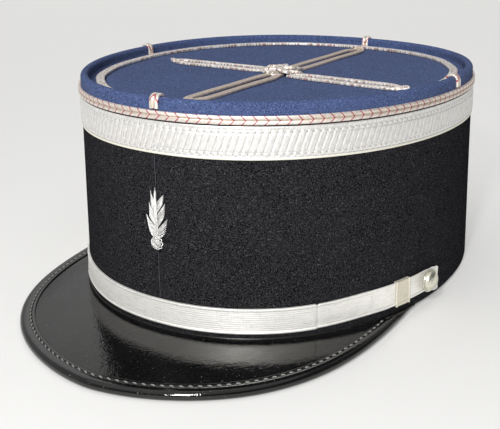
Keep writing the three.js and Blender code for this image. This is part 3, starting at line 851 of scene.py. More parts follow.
class KEPI_OT_lace(bpy.types.Operator):
    """Build the woven silver lace round the crown"""

    bl_idname = "kepi.lace"
    bl_label = "Lace"

    def execute(self, context):
        trim = context.scene.kepi_trim
        top = JOINT_DROP + LACE_REVEAL
        bottom = top + LACE_WIDTH
        length = even_turns(1.0, (top + bottom) / 2, 1.0)[1][-1]
        pitch = length / round(length / trim.rib_pitch)
        turns, along = even_turns(pitch / 8, (top + bottom) / 2, 1.0)
        across = np.linspace(0, LACE_WIDTH, 40)
        taller = 1 + 0.35 / LACE_WIDTH
        relief = lace_relief(along[None, :-1], across[:, None], pitch)
        front = rim_point(turns[None, :-1], bottom - across[:, None] * taller, LACE_STAND + relief)
        back_across = np.linspace(LACE_WIDTH, 0, 3)
        back = rim_point(turns[None, :-1], bottom - back_across[:, None] * taller, 0.14)
        grid = np.concatenate([front, back])
        lay = np.concatenate([across, back_across, [0]])
        finish = woven_silver("silver lace", trim.lace_colour, trim.selvedge_colour, pitch)
        make_round("lace_band_woven", finish, "lace_band", grid, along, lay)
        return {"FINISHED"}


def braid_section(width, thickness, floor=0.6):
    """Two round ridges with a groove between them, on a flat back: across and up. The floor is
    the height of the groove and the sides as a share of the thickness."""
    turn = np.linspace(math.pi, 0, 10)
    low = floor * thickness
    ridge = low + (thickness - low) * np.sin(turn)
    first = np.stack([(-0.5 + 0.5 * np.cos(turn)) * width / 2, ridge], -1)
    second = np.stack([(0.5 + 0.5 * np.cos(turn)) * width / 2, ridge], -1)
    back = np.array([[width / 2 * 0.94, 0], [0, 0], [-width / 2 * 0.94, 0]])
    return np.concatenate([first, second[1:], back])


def braid_finish(context):
    """The finish of the braid round the crown and of its tabs, made once."""
    trim = context.scene.kepi_trim
    name = "silver braid"
    return bpy.data.materials.get(name) or soutache_silver(
        name, trim.braid_colour, trim.braid_shade_colour, trim.fleck_colour, trim.chevron_pitch, 1.0)


def tangled_finish(context):
    """The finish of the knot, the side arms and the ring, made once."""
    trim = context.scene.kepi_trim
    name = "tangled braid"
    return bpy.data.materials.get(name) or tangled_silver(
        name, trim.knot_colour, trim.braid_shade_colour, trim.fleck_colour)


def lay_across(section):
    """How far across the braid each point of its section lies, back to the first."""
    return np.append(section[:, 0], section[0, 0])


class KEPI_OT_braid(bpy.types.Operator):
    """Build the braid round the crown and the ring of braid on the panel"""

    bl_idname = "kepi.braid"
    bl_label = "Braid"

    def execute(self, context):
        pitch = context.scene.kepi_trim.chevron_pitch
        width = BRAID_WIDTH - 0.4
        section = braid_section(width, BRAID_THICKNESS - 0.45)
        level = JOINT_DROP - width / 2
        turns, along = self.even_chevrons(level, GAP + 1, pitch)
        grid = rim_point(turns, level - section[:, 0, None], 0.1 + section[:, 1, None])
        make_round("crown_braid_wound", braid_finish(context), "crown_braid",
                   grid, along, lay_across(section), 50)

        section = braid_section(BRAID_WIDTH, BRAID_THICKNESS - 0.3, 0.75)
        turns, along = self.even_chevrons(TOP_RECESS, -RING_INSET, pitch)
        drift = 0.25 * np.sin(turns * 7 + 0.4) + 0.15 * np.sin(turns * 17)
        grid = rim_point(turns, TOP_RECESS - GAP - section[:, 1, None],
                         -RING_INSET + drift - section[:, 0, None])
        make_round("top_ring_wound", tangled_finish(context), "top_ring_braid",
                   grid, along, lay_across(section), 50)
        return {"FINISHED"}

    def even_chevrons(self, drop, out, pitch):
        """Turns round the crown, and lengths in which the chevrons come out whole."""
        turns, along = even_turns(BRAID_STEP, drop, out)
        return turns[None, :-1], along * (round(along[-1] / pitch) * pitch / along[-1])


class KEPI_OT_tabs(bpy.types.Operator):
    """Build the four tabs of braid over the rim"""

    bl_idname = "kepi.tabs"
    bl_label = "Tabs"

    def execute(self, context):
        surface = rim_surface(RIM_REVEAL - GAP)
        ring_edge = -RING_INSET + BRAID_WIDTH / 2 + GAP
        surface = np.vstack([surface, [ring_edge, TOP_RECESS, 0, 1]])
        length = run_length(surface[:, :2])
        even = np.linspace(0, length[-1], 40)
        path = np.stack([np.interp(even, length, surface[:, i]) for i in range(4)], -1)
        section = braid_section(BRAID_WIDTH, TAB_THICKNESS)
        for side, degrees in TABS:
            middle = float(from_front(degrees))
            turn = turn_for(1.0, middle, 1.0)
            up = section[:, 1, None] + GAP
            across = middle + section[:, 0, None] * turn
            grid = rim_point(across, path[None, :, 1] - path[None, :, 3] * up,
                             path[None, :, 0] + path[None, :, 2] * up)
            make_strip(f"braid_tab_{side}_wound", braid_finish(context),
                       f"braid_tab_{side}", grid, even + 1.7, lay_across(section), 50)
        return {"FINISHED"}


def on_panel(points):
    """Points of the cross, drawn flat round its centre, on the sloping panel."""
    x, y = KNOT_SHIFT
    slope = math.atan2(BACK_HEIGHT - FRONT_HEIGHT, HEAD_LENGTH)
    points = np.asarray(points, float)
    cosine, sine = math.cos(slope), math.sin(slope)
    turned = np.stack([points[..., 0], points[..., 1] * cosine - points[..., 2] * sine,
                       points[..., 1] * sine + points[..., 2] * cosine], -1)
    return turned + [x, y, rim_height(y) - TOP_RECESS + GAP]


def flat_braid(line, section, lift, widths=1.0, closed=False):
    """A grid of a braid that follows a flat line, raised by lift."""
    if closed:
        ahead = np.roll(line, -1, 0) - np.roll(line, 1, 0)
    else:
        ahead = np.gradient(line, axis=0)
    ahead = unit(ahead[:, :2])
    left = np.stack([-ahead[:, 1], ahead[:, 0]], -1)
    widths = np.broadcast_to(widths, len(line))
    spread = section[:, 0, None] * widths[None]
    flat = line[None, :, :2] + left[None] * spread[..., None]
    height = np.broadcast_to(section[:, 1, None] + lift, spread.shape)
    return np.concatenate([flat, height[..., None]], -1)


# The rounds of the knot: size, turn in degrees, height over the panel and depth of the weave.
KNOT_ROUNDS = ((1.0, 0.0, 0.6, 0.5), (0.92, 45.0, 1.3, 0.5), (0.6, 20.0, 2.1, 0.45))

# The two short crossings near an arm's tip: where each starts and ends, ahead of the tip and
# aside, and its height over the arm as a share of the braid's thickness.
ARM_FOLDS = (((-0.6, -1.9), (-4.6, 2.2), 0.75), ((-6.5, -2.1), (-2.8, 1.9), 0.4))


class KEPI_OT_cross(bpy.types.Operator):
    """Build the cross of doubled braid and the knot at its centre"""

    bl_idname = "kepi.cross"
    bl_label = "Cross and knot"

    def execute(self, context):
        trim = context.scene.kepi_trim
        # Painted light and shade: the front and back arms get a darker copy of the braid, and the
        # side arms get the lighter knotted one.
        bright = tangled_finish(context)
        shaded = soutache_silver("dull braid", trim.shaded_arm_colour, trim.braid_shade_colour, trim.fleck_colour,
                               trim.chevron_pitch, 0.25)
        for arm in ARMS:
            self.add_arm(shaded if arm[0] in ("front", "back") else bright, *arm)
        self.add_knot(bright)
        return {"FINISHED"}

    def add_arm(self, finish, side, axis, lean, aside, reach, start, spacing):
        """Two runs of one braid side by side, which folds over itself at the arm's tip."""
        section = braid_section(ARM_BRAID_WIDTH, ARM_THICKNESS)
        flat = outline(math.radians(axis), 1.0, -RING_INSET - BRAID_WIDTH / 2)
        end = math.hypot(*flat) * reach
        turn = math.radians(axis + lean)
        skin = Skin()

        def lay_braid(line, shape, lift, widths, ahead=0.0):
            grid = flat_braid(line + [0, aside, 0], shape, lift, widths)
            x, y = grid[..., 0].copy(), grid[..., 1].copy()
            grid[..., 0] = x * math.cos(turn) - y * math.sin(turn)
            grid[..., 1] = x * math.sin(turn) + y * math.cos(turn)
            skin.add_strip(on_panel(grid), run_length(line) + ahead, lay_across(shape))

        for hand in (-1, 1):
            stop = end - (0.0 if hand < 0 else 3.2)
            along = np.linspace(start, stop, 120)
            away = spacing / 2 * between(0.35, 1, smooth(stop - along, 0, ARM_POINT * 0.8))
            away = away * between(0.6, 1, smooth(along - start, 0, 12))
            wander = 0.16 * np.sin(along / 7 + hand * 1.3 + axis)
            tip = between(0.35, 1, smooth(stop - along, 0, 5))
            line = np.stack([along, hand * away + wander, 0 * along], -1)
            lay_braid(line, section, 0.0, tip, 2.3 * (hand > 0))
        for first, second, lift in ARM_FOLDS:
            share = np.linspace(0, 1, 31)
            bow = np.sin(math.pi * share)
            line = np.stack([end + between(first[0], second[0], share) + 0.5 * bow,
                             between(first[1], second[1], share), 0 * share], -1)
            widths = between(0.55, 1, smooth(bow, 0, 0.45))
            raised = (lift * ARM_THICKNESS * bow ** 0.4)[None]
            lay_braid(line, braid_section(*FOLD_BRAID), raised, widths)
        skin.make(f"cross_arm_{side}_wound", finish, [f"cross_arm_{side}"], 50)

    def add_knot(self, finish):
        """Three rounds of braid, one on the other, each of which weaves over and under itself."""
        skin = Skin()
        turn = np.linspace(0, 2 * math.pi, 361)[:-1]
        full = (KNOT_RADIUS - KNOT_CORD / 2) / (1 + KNOT_LOOP)
        for size, spin, lift, depth in KNOT_ROUNDS:
            weave = depth * np.tanh(3 * np.sin(4 * turn))
            x = full * size * (np.cos(turn) + KNOT_LOOP * np.cos(3 * turn))
            y = full * size * (np.sin(turn) - KNOT_LOOP * np.sin(3 * turn))
            spin = math.radians(spin)
            line = np.stack([x * math.cos(spin) - y * math.sin(spin),
                             x * math.sin(spin) + y * math.cos(spin), weave], -1)
            section = braid_section(*KNOT_BRAID)
            grid = flat_braid(line, section, lift + weave[None], 1.0, True)
            along = run_length(np.vstack([line, line[:1]]))
            skin.add_sheet(on_panel(grid), along, lay_across(section), True, True)
        skin.make("centre_knot_wound", finish, ["centre_knot"], 50)


def peak_edge(turn):
    """The middle of the peak's rolled edge. Turn is measured from the front to the left."""
    turn = np.asarray(turn, float)
    sine, cosine = np.sin(turn), np.cos(turn)
    power = 2 / PEAK_POWER
    half_width = HEAD_WIDTH / 2 - PEAK_INSET
    reach = HEAD_LENGTH / 2 + PEAK_REACH - PEAK_TURN
    x = half_width * signed_power(sine, power) * (1 + PEAK_SHOULDER * cosine * cosine)
    y = -PEAK_TURN - reach * signed_power(cosine, power)
    z = PEAK_SIDE_RISE - (PEAK_SIDE_RISE + PEAK_FRONT_DROP) * np.sqrt(np.abs(cosine))
    return np.stack([x, y, z], -1)


def front_sine(forward):
    """Sine of the outline's own angle at a place that far forward of the middle."""
    return (forward / (HEAD_LENGTH / 2 + PEAK_END)) ** (OVAL_POWER / 2)


def find_peak_end():
    """The turn at which the edge has come back to within PEAK_END of the crown."""
    outside, inside = 0.0, math.pi / 2
    for _ in range(40):
        turn = (outside + inside) / 2
        x, y, _z = peak_edge(turn)
        sine = front_sine(-y)
        angle = -math.asin(min(sine, 1))
        if sine >= 1 or x > outline(angle, 0.0, PEAK_END)[0]:
            outside = turn
        else:
            inside = turn
    return outside


PEAK_LAST_TURN = find_peak_end()
PEAK_LAST_ANGLE = math.acos(front_sine(-peak_edge(PEAK_LAST_TURN)[1]))


def peak_seat(side):
    """Where the peak meets the crown."""
    return wall_point(FRONT + side * PEAK_LAST_ANGLE, 0.0, GAP)


def peak_width(side):
    """Distance across the peak from its edge to the crown."""
    return np.linalg.norm((peak_seat(side) - peak_edge(side * PEAK_LAST_TURN))[..., :2], axis=-1)


def peak_point(side, inward, up):
    """A point of the peak. Side runs from -1 to 1 along the crescent, inward is the distance from
    the edge's line towards the crown, and up is measured from the middle of the leather."""
    side, inward, up = np.broadcast_arrays(side, inward, up)
    turn = side * PEAK_LAST_TURN
    step = 0.001
    edge = peak_edge(turn)
    ahead = (peak_edge(turn + step) - peak_edge(turn - step))[..., :2]
    ahead = unit(ahead)
    outer = edge.copy()
    outer[..., 0] -= ahead[..., 1] * inward
    outer[..., 1] += ahead[..., 0] * inward
    width = peak_width(side)
    share = np.clip(inward / width, 0, 1)
    inner = edge + (peak_seat(side) - edge) * share[..., None]
    inner[..., 2] += PEAK_BOW * width / PEAK_REACH * 4 * share * (1 - share)
    point = np.where((inward < 0)[..., None], outer, inner)
    point[..., 2] += up
    return point


def peak_sides(step):
    """Even stations along the peak's edge: sides, and the length at each."""
    fine = np.linspace(-1, 1, 3001)
    length = run_length(peak_edge(fine * PEAK_LAST_TURN))
    along = np.linspace(0, length[-1], int(length[-1] / step))
    return np.interp(along, length, fine), along


# The stitches: how far they lie from the edge's line, their length as a share of their pitch, and
# the least width of the peak that is sewn. Then how far the tapering ends run round the crown.
STITCH_LINE = 2.85
STITCH_SHARE = 0.54
SEWN_WIDTH = 5.5
HORN_TURN = math.radians(9.0)


class KEPI_OT_peak(bpy.types.Operator):
    """Build the lacquered leather of the peak with its rolled, stitched edge"""

    bl_idname = "kepi.peak"
    bl_label = "Peak"

    def execute(self, context):
        look = context.scene.kepi_peak
        colours = look.leather_colour, look.dust_colour
        flat = patent_leather("patent leather", *colours, look.gloss, dusting=0.2, coat=0.0)
        rolled = patent_leather("rolled leather", *colours, look.gloss * 2, dusting=0.04, coat=0.3)
        dusty = patent_leather("dusty leather", *colours, 0.3, dusting=0.5, coat=0.0)
        thread = waxed_thread("peak thread", look.stitch_colour)
        self.add_leather(flat)
        self.add_binding(rolled)
        self.add_welt(dusty)
        self.add_ends(rolled)
        self.add_stitches(thread, look.stitch_pitch)
        return {"FINISHED"}

    def add_leather(self, leather):
        sides, along = peak_sides(PEAK_STEP)
        width = peak_width(sides)
        share = np.concatenate([np.linspace(0, 0.3, 30)[:-1], np.linspace(0.3, 1, 40)])
        inward = share[:, None] * width[None]
        half = PEAK_THICKNESS / 2
        dents = 0.05 * np.sin(along[None] / 9.0 + 3 * share[:, None]) * np.sin(inward / 6.0)
        upper = peak_point(sides[None], inward, half + dents)
        lower = peak_point(sides[None], inward[::-4], -half)
        grid = np.concatenate([upper, lower])
        lay = np.concatenate([share * 40, share[::-4] * 40, [0]])
        make_strip("peak_leather", leather, "peak", grid, along, lay, 50)

    def add_binding(self, leather):
        """The leather that wraps the edge, with a sewn channel near its inner margin."""
        sides, along = peak_sides(PEAK_STEP)
        inside = PEAK_THICKNESS / 2 + GAP * 0.4
        outside = PEAK_THICKNESS / 2 + GAP + BINDING_THICKNESS
        roll = [(-outside * math.cos(t), outside * math.sin(t))
                for t in np.linspace(-math.pi / 2, math.pi / 2, 25)]
        reach = np.linspace(0, BINDING_OVERLAP - 0.25, 34)
        fall = 0.3 * smooth(reach, 0.6, STITCH_LINE) + 0.12 * smooth(reach, STITCH_LINE, 4.2)
        channel = 0.34 * np.exp(-((reach - STITCH_LINE) / 0.42) ** 2)
        top = [(a, outside - b) for a, b in zip(reach[1:], (fall + channel)[1:])]
        last = top[-1][1]
        lip = [(BINDING_OVERLAP - 0.08, last - 0.06), (BINDING_OVERLAP, (last + inside) / 2),
               (BINDING_OVERLAP, inside)]
        under = [(a, -b) for a, b in reversed(top + lip)]
        hidden = [(-GAP, inside), (-GAP, -inside)]
        section = np.array(under + roll + top + lip + hidden)
        width = peak_width(sides)
        inward = np.minimum(section[:, 0, None], width[None] * 0.85)
        grid = peak_point(sides[None], inward, section[:, 1, None])
        lay = np.append(np.arange(len(section)) * 0.5, 0)
        make_strip("peak_binding_rolled", leather, "peak_binding",
                   grid, along, lay, 50)

    def add_welt(self, leather):
        """The narrow dusty welt where the peak meets the crown, and the binding's inner lip."""
        side = np.linspace(-0.985, 0.985, 320)
        radius = 0.36 * smooth(1 - np.abs(side), 0, 0.1) + 0.12
        inward = peak_width(side) - radius - 0.05
        points = peak_point(side, inward, PEAK_THICKNESS / 2 + radius * 0.35)
        skin = Skin()
        add_thread(skin, points, radius, 14)
        radius = 0.2 * smooth(peak_width(side), 6, 9) + 0.02
        add_thread(skin, peak_point(side, BINDING_OVERLAP, PEAK_THICKNESS / 2 + 0.34), radius, 8)
        skin.make("peak_welt", leather, (), 60)

    def add_ends(self, leather):
        """The tapering ends that run back from the peak along the crown's lower edge."""
        skin = Skin()
        share = np.linspace(0, 1, 40)
        half = PEAK_THICKNESS / 2 + GAP + BINDING_THICKNESS
        broad = between(PEAK_END + half, 0.9, smooth(share, 0.12, 1)) / 2
        thick = between(half * 1.02, 0.5, smooth(share, 0.12, 1))
        level = between(peak_edge(PEAK_LAST_TURN)[2], 0.9, smooth(share, 0, 1))
        section = np.linspace(0, 2 * math.pi, 29)[:-1, None]
        for hand in (-1, 1):
            turn = FRONT + hand * (PEAK_LAST_ANGLE - 0.05 + (HORN_TURN + 0.05) * share)
            grid = wall_point(turn[None], level + thick * np.sin(section),
                              0.12 + broad + broad * np.cos(section))
            skin.add_strip(grid, share * 16, np.arange(29) * 0.4)
        skin.make("peak_ends", leather, (), 60)

    def add_stitches(self, thread, pitch):
        sides, along = peak_sides(PEAK_STEP / 2)
        skin = Skin()
        count = int(along[-1] / pitch)
        floor = PEAK_THICKNESS / 2 + GAP + BINDING_THICKNESS - 0.5
        for upper in (True, False):
            for index in range(count):
                middle = (index + 0.5) * along[-1] / count
                spot = np.linspace(-0.5, 0.5, 11)
                side = np.interp(middle + spot * pitch * STITCH_SHARE, along, sides)
                if peak_width(side).min() < SEWN_WIDTH:
                    continue
                arch = np.sqrt(np.clip(1 - (2 * spot) ** 2, 0, 1))
                inward = STITCH_LINE - spot * 0.55
                height = floor + 0.26 * arch
                points = peak_point(side, inward, height if upper else -height)
                add_thread(skin, points, 0.12 + 0.22 * arch, 8)
        skin.make("peak_stitching", thread, (), 80)


def strap_middle(degrees):
    """Height of the strap's middle line, which climbs towards the buttons."""
    climb = smooth(np.abs(degrees), KEEPER_ANGLE / 2, KEEPER_ANGLE)
    return STRAP_SEAT + STRAP_WIDTH / 2 + STRAP_RISE * climb


def strap_stand_off(degrees):
    """How far the strap stands off the wall, which is more inside its keepers."""
    lift = KEEPER_THICKNESS + GAP
    start = KEEPER_ANGLE - 13
    return GAP + lift * smooth(np.abs(degrees), start, start + 8)


# Where the strap is folded over and where its under layer ends, in degrees from the front.
FOLD_ANGLE = 43.0
UNDER_END_ANGLE = 58.3


class KEPI_OT_strap(bpy.types.Operator):
    """Build the false chin strap and its two keepers"""

    bl_idname = "kepi.strap"
    bl_label = "Chin strap"

    def execute(self, context):
        trim = context.scene.kepi_trim
        shadow = tuple(0.5 * part for part in trim.strap_colour)
        finish = strap_silver("strap lace", trim.strap_colour, shadow)
        self.add_strap(finish)
        shadow = tuple(0.6 * part for part in trim.keeper_colour)
        finish = strap_silver("keeper lace", trim.keeper_colour, shadow)
        for name, hand in (("left", 1), ("right", -1)):
            self.add_keeper(name, hand, finish)
        return {"FINISHED"}

    def add_strap(self, finish):
        fine = np.linspace(-STRAP_REACH, STRAP_REACH, 2001)
        length = run_length(wall_point(from_front(fine), 9.0, 1.0))
        along = np.linspace(0, length[-1], 620)
        degrees = np.interp(along, length, fine)[None]
        half = STRAP_WIDTH / 2
        across = np.linspace(-half, half, 44)[:, None]
        away = np.abs(degrees)
        edge = half - np.abs(across)
        cord = (0.2 + 0.16 * (across < 0)) * np.sqrt(np.clip(1 - ((edge - 0.5) / 0.55) ** 2, 0, 1))
        ribs = 0.035 * np.cos(across * 2 * math.pi / 0.9) * smooth(edge, 1.0, 1.4)
        crease = np.exp(-((away - FOLD_ANGLE) / 0.35) ** 2)
        layers = 0.22 * (1 - smooth(away, FOLD_ANGLE - 0.25, FOLD_ANGLE + 0.25))
        layers = layers + 0.2 * (1 - smooth(away, UNDER_END_ANGLE - 0.2, UNDER_END_ANGLE + 0.2))
        wave = 0.12 * np.sin(degrees / 6.3 + 0.9) * np.sin(degrees / 15.0)
        out = 0.38 + cord + ribs + layers - 0.16 * crease + wave * 0.5
        flare = 1 - 0.07 * smooth(away, KEEPER_ANGLE - 6, KEEPER_ANGLE + 3)
        flare = flare + 0.14 * smooth(away, BUTTON_ANGLE + 1, BUTTON_ANGLE + 3.5)
        nick = 1 - 0.1 * crease * (across > 0) * smooth(across, half * 0.5, half)
        stretch = np.where(away < FOLD_ANGLE, 1.02, 0.985)
        droop = 1.9 * smooth(away, BUTTON_ANGLE - 0.5, STRAP_REACH)
        height = strap_middle(degrees) - droop + across * flare * nick * stretch
        end = smooth(away, STRAP_REACH - 3, STRAP_REACH)
        hollow = 0.5 * end * (1 - (across / half) ** 2)
        corner = 0.8 * end * smooth(np.abs(across) / half, 0.72, 1) ** 2
        turn = degrees - np.sign(degrees) * (hollow + corner)
        stand = strap_stand_off(degrees)
        front = wall_point(from_front(turn), height, stand + out)
        back = wall_point(from_front(turn[::-14]), height[::-14], (stand + 0 * out)[::-14])
        grid = np.concatenate([front, back])
        lay = np.concatenate([across[:, 0], across[::-14, 0], across[:1, 0]])
        make_strip("chin_strap_woven", finish, "chin_strap", grid, along, lay)

    def add_keeper(self, name, hand, finish):
        half = STRAP_WIDTH / 2
        depth = STRAP_THICKNESS - 0.1
        wall = 0.28
        reach = turn_for(KEEPER_LENGTH, float(from_front(KEEPER_ANGLE)), 0.0)
        level = -0.15
        share = np.linspace(-0.5, 0.5, 49)
        degrees = hand * (KEEPER_ANGLE + 0.3) + np.degrees(reach) * share
        from_end = (0.5 - np.abs(share)) * KEEPER_LENGTH
        roll = 0.26 * np.sqrt(np.clip(1 - ((from_end - 0.4) / 0.4) ** 2, 0, 1))
        corner = 0.3
        outside = []
        for start, y in ((-90, -half), (0, half)):
            for turn in np.radians(np.linspace(start, start + 90, 6)):
                outside.append((depth + wall - corner + corner * math.cos(turn),
                                y + math.copysign(wall - corner, y) + corner * math.sin(turn), 1.0))
        ribs = np.linspace(-half + 0.6, half - 0.6, 22)
        outside[6:6] = [(depth + wall + 0.03 * math.cos(r * 7), r, 1.0) for r in ribs]
        outside += [(-GAP - wall, half + wall, 0.3), (-GAP - wall, -half - wall, 0.3)]
        inside = [(-GAP, -half, 0.0), (-GAP, half, 0.0), (depth, half, 0.0), (depth, -half, 0.0)]
        skin = Skin()
        rims = []
        for section in (np.array(outside), np.array(inside)):
            grow = section[:, 2, None] * roll[None]
            high = section[:, 1, None] + np.sign(section[:, 1, None]) * grow * 0.5 * (
                np.abs(section[:, 1, None]) > half - 0.3)
            out = section[:, 0, None] + grow * (section[:, 0, None] > 0)
            height = strap_middle(degrees)[None] + level + high
            stand = strap_stand_off(degrees)[None]
            grid = wall_point(from_front(degrees)[None], height, stand + out)
            lay = np.append(section[:, 1], section[0, 1])
            first = skin.add_sheet(grid, share * KEEPER_LENGTH, lay, True)
            rims.append((first, len(section)))
        self.close_ends(skin, rims, len(share))
        skin.make(f"strap_keeper_{name}_woven", finish, [f"strap_keeper_{name}"])

    def close_ends(self, skin, rims, columns):
        """Joins the loop's outside and inside at both of its ends."""
        (outer, outer_count), (inner, inner_count) = rims
        points = np.concatenate(skin.points)
        for column in (0, columns - 1):
            outer_ring = [outer + row * columns + column for row in range(outer_count)]
            inner_ring = [inner + row * columns + column for row in range(inner_count)]
            nearest = [min(inner_ring, key=lambda i: np.linalg.norm(points[i] - points[o]))
                       for o in outer_ring]
            for index, first in enumerate(outer_ring):
                second = outer_ring[(index + 1) % outer_count]
                a, b = nearest[index], nearest[(index + 1) % outer_count]
                face = [first, second, b] if a == b else [first, second, b, a]
                skin.faces.append(face)
                skin.lays.append(np.zeros((len(face), 2)))


def wall_axes(degrees, height, out):
    """A place on the wall and its axes: along the wall to the left, up it, and out of it."""
    angle = float(from_front(degrees))
    step = 0.01
    along = wall_point(angle + step, height, out) - wall_point(angle - step, height, out)
    up = wall_point(angle, height + 1, out) - wall_point(angle, height - 1, out)
    along = unit(along)
    outward = unit(np.cross(along, up))
    return wall_point(angle, height, out), along, np.cross(outward, along), outward


def on_wall(place, points):
    """Points drawn flat, carried to a place on the wall."""
    middle, along, up, outward = place
    points = np.asarray(points, float)
    return (middle + points[..., :1] * along + points[..., 1:2] * up
            + points[..., 2:3] * outward)


def turned(profile, sides):
    """A grid turned round an axis, from radii and heights."""
    turn = np.arange(sides) * 2 * math.pi / sides
    profile = np.asarray(profile, float)
    return np.stack([profile[:, 0, None] * np.cos(turn)[None],
                     profile[:, 0, None] * np.sin(turn)[None],
                     np.broadcast_to(profile[:, 1, None], (len(profile), sides))], -1)


class KEPI_OT_buttons(bpy.types.Operator):
    """Build the two domed buttons"""

    bl_idname = "kepi.buttons"
    bl_label = "Buttons"

    def execute(self, context):
        finish = pale_gilt("button gilt", context.scene.kepi_trim.button_colour)
        radius = BUTTON_DIAMETER / 2
        edge = BUTTON_BACK + 0.5
        lip = 0.28
        profile = [(SHANK_DIAMETER / 2, 0), (SHANK_DIAMETER / 2, BUTTON_BACK)]
        profile += [(radius * share, BUTTON_BACK) for share in (0.5, 0.8, 0.95)]
        for turn in np.linspace(-math.pi / 2, math.pi / 2, 9):
            profile.append((radius + lip * (math.cos(turn) - 1), edge - 0.1 + lip * math.sin(turn)))
        bowl = radius - 0.62
        for turn in np.linspace(0.03, math.pi / 2, 26)[:-1]:
            ring = 0.07 * math.exp(-((math.cos(turn) - 0.86) / 0.035) ** 2)
            height = edge + 0.02 + (BUTTON_DOME - 0.06) * math.sin(turn) + ring
            profile.append((bowl * math.cos(turn), height))
        sides = 72
        grid = turned(profile, sides)
        face = grid[..., 2] > edge + 0.5
        turn = np.arctan2(grid[..., 1], grid[..., 0])
        reach = np.hypot(grid[..., 0], grid[..., 1]) / bowl
        leaves = np.cos(5 * turn + 6 * reach) + 0.6 * np.cos(3 * turn - 9 * reach + 1)
        leaves = 0.055 * leaves * np.clip(1 - ((reach - 0.42) / 0.36) ** 2, 0, 1)
        grid[..., 2] += np.where(face, leaves, 0)
        for name, hand in (("left", 1), ("right", -1)):
            degrees = hand * BUTTON_ANGLE
            out = strap_stand_off(degrees) + STRAP_THICKNESS + GAP
            place = wall_axes(degrees, float(strap_middle(degrees)) + 0.7, float(out))
            skin = Skin()
            first = skin.add_sheet(on_wall(place, grid), np.arange(sides + 1) * 0.4,
                                   np.arange(len(profile)) * 0.3, False, True)
            skin.add_cap([first + i for i in range(sides)])
            skin.add_cap([first + (len(profile) - 1) * sides + i for i in range(sides)])
            skin.make(f"button_{name}_gilt", finish, [f"button_{name}"], 35)
        return {"FINISHED"}


# The badge's tongues: their side, the lowest and the highest place where a thread leaves the
# stem, the place aside and up where the lowest thread ends, the tip, and the number of threads.
TONGUES = (
    (1, 5.3, 8.6, (3.0, 6.7), (5.0, 13.6), 8),
    (1, 9.6, 14.4, (3.4, 14.4), (4.1, 19.8), 7),
    (1, 15.6, 19.4, (3.0, 19.8), (3.6, 23.3), 6),
    (-1, 5.3, 9.6, (3.1, 7.3), (4.8, 14.2), 9),
    (-1, 10.4, 14.8, (3.4, 14.8), (3.3, 19.4), 7),
    (-1, 15.8, 19.8, (2.4, 19.8), (2.4, 24.3), 6),
)


class KEPI_OT_badge(bpy.types.Operator):
    """Build the embroidered flames over a coiled ball, and the thread down the front"""

    bl_idname = "kepi.badge"
    bl_label = "Badge"

    def execute(self, context):
        trim = context.scene.kepi_trim
        place = wall_axes(BADGE_ANGLE, BADGE_BASE + 0.4, GAP)
        finish = bullion("silver wire", trim.thread_colour, 0.42)
        draw = random.Random(BADGE_SEED)
        skin = Skin()

        def lay_thread(points, radius):
            add_thread(skin, on_wall(place, points), radius, 7)

        share = np.linspace(0, 1, 14)
        taper = np.clip(np.sin(between(0.6, math.pi - 0.15, share)) ** 0.5, 0.3, 1)
        for hand, low, high, first, tip, count in TONGUES:
            for strand in range(count):
                spread = strand / (count - 1)
                start = np.array([0.15 * hand, between(low, high, spread), 0.5])
                aside = between(first[0], tip[0], spread ** 0.5) * hand
                end = np.array([aside, between(first[1], tip[1], spread), 0.35])
                bend = (start + end) / 2 + [0.12 * aside, draw.uniform(-0.3, 0.1), 1.0]
                lay_thread(curve_between(start, bend, end, 14), BADGE_WIRE * taper)
        for offset in (-0.6, 0.0, 0.6):
            start = (offset * 0.8, 4.6, 0.6)
            bend = (offset * 0.9 + draw.uniform(-0.1, 0.1), 17.0, 1.5)
            end = (-0.3 + offset * 0.5, 25.8 - abs(offset) * 2, 0.4)
            lay_thread(curve_between(start, bend, end, 14), BADGE_WIRE * taper)
        self.add_ball(skin, place)
        skin.make("flame_badge_embroidered", finish, ["flame_badge"], 70)
        self.add_seam(context)
        return {"FINISHED"}

    def add_ball(self, skin, place):
        radius = BALL_DIAMETER / 2
        middle = np.array([0.0, radius + 0.4, 0.0])

        def dome(reach):
            return 0.25 + (BALL_DOME - 0.5) * np.sqrt(np.clip(1 - (reach / radius) ** 2, 0, 1))

        turn = np.linspace(0, 2 * math.pi * 3.6, 130)
        reach = np.interp(turn, [0, turn[-1]], [0.25, radius - 0.75])
        spiral = np.stack([reach * np.cos(turn), reach * np.sin(turn), dome(reach)], -1)
        add_thread(skin, on_wall(place, middle + spiral), 0.22, 7)
        for petal in range(9):
            centre = petal * 2 * math.pi / 9
            bow = np.linspace(-1, 1, 11)
            angle = centre + bow * 0.32
            out = radius - 0.8 + 0.7 * np.sqrt(1 - 0.96 * bow ** 2)
            loop = np.stack([out * np.cos(angle), out * np.sin(angle), dome(out) + 0.12], -1)
            add_thread(skin, on_wall(place, middle + loop), 0.28, 7)

    def add_seam(self, context):
        """The thread that closes the seam down the front, seen above and below the badge."""
        thread = waxed_thread("seam thread", (0.055, 0.06, 0.075))
        top = rim_height(-HEAD_LENGTH / 2) - JOINT_DROP - LACE_REVEAL - LACE_WIDTH
        low = STRAP_SEAT + STRAP_WIDTH + 0.4
        skin = Skin()
        for start, end in ((low, BADGE_BASE - 0.6), (BADGE_BASE + 27, top)):
            height = np.linspace(start, end, int((end - start) * 3))
            sway = 0.03 * np.sin(height / 2.3)
            out = 0.02 * np.sin(height * 3.3) - 0.04
            points = wall_point(from_front(SEAM_ANGLE + sway), height, out)
            add_thread(skin, points, 0.12, 6)
        skin.make("front_seam_thread", thread, (), 80)


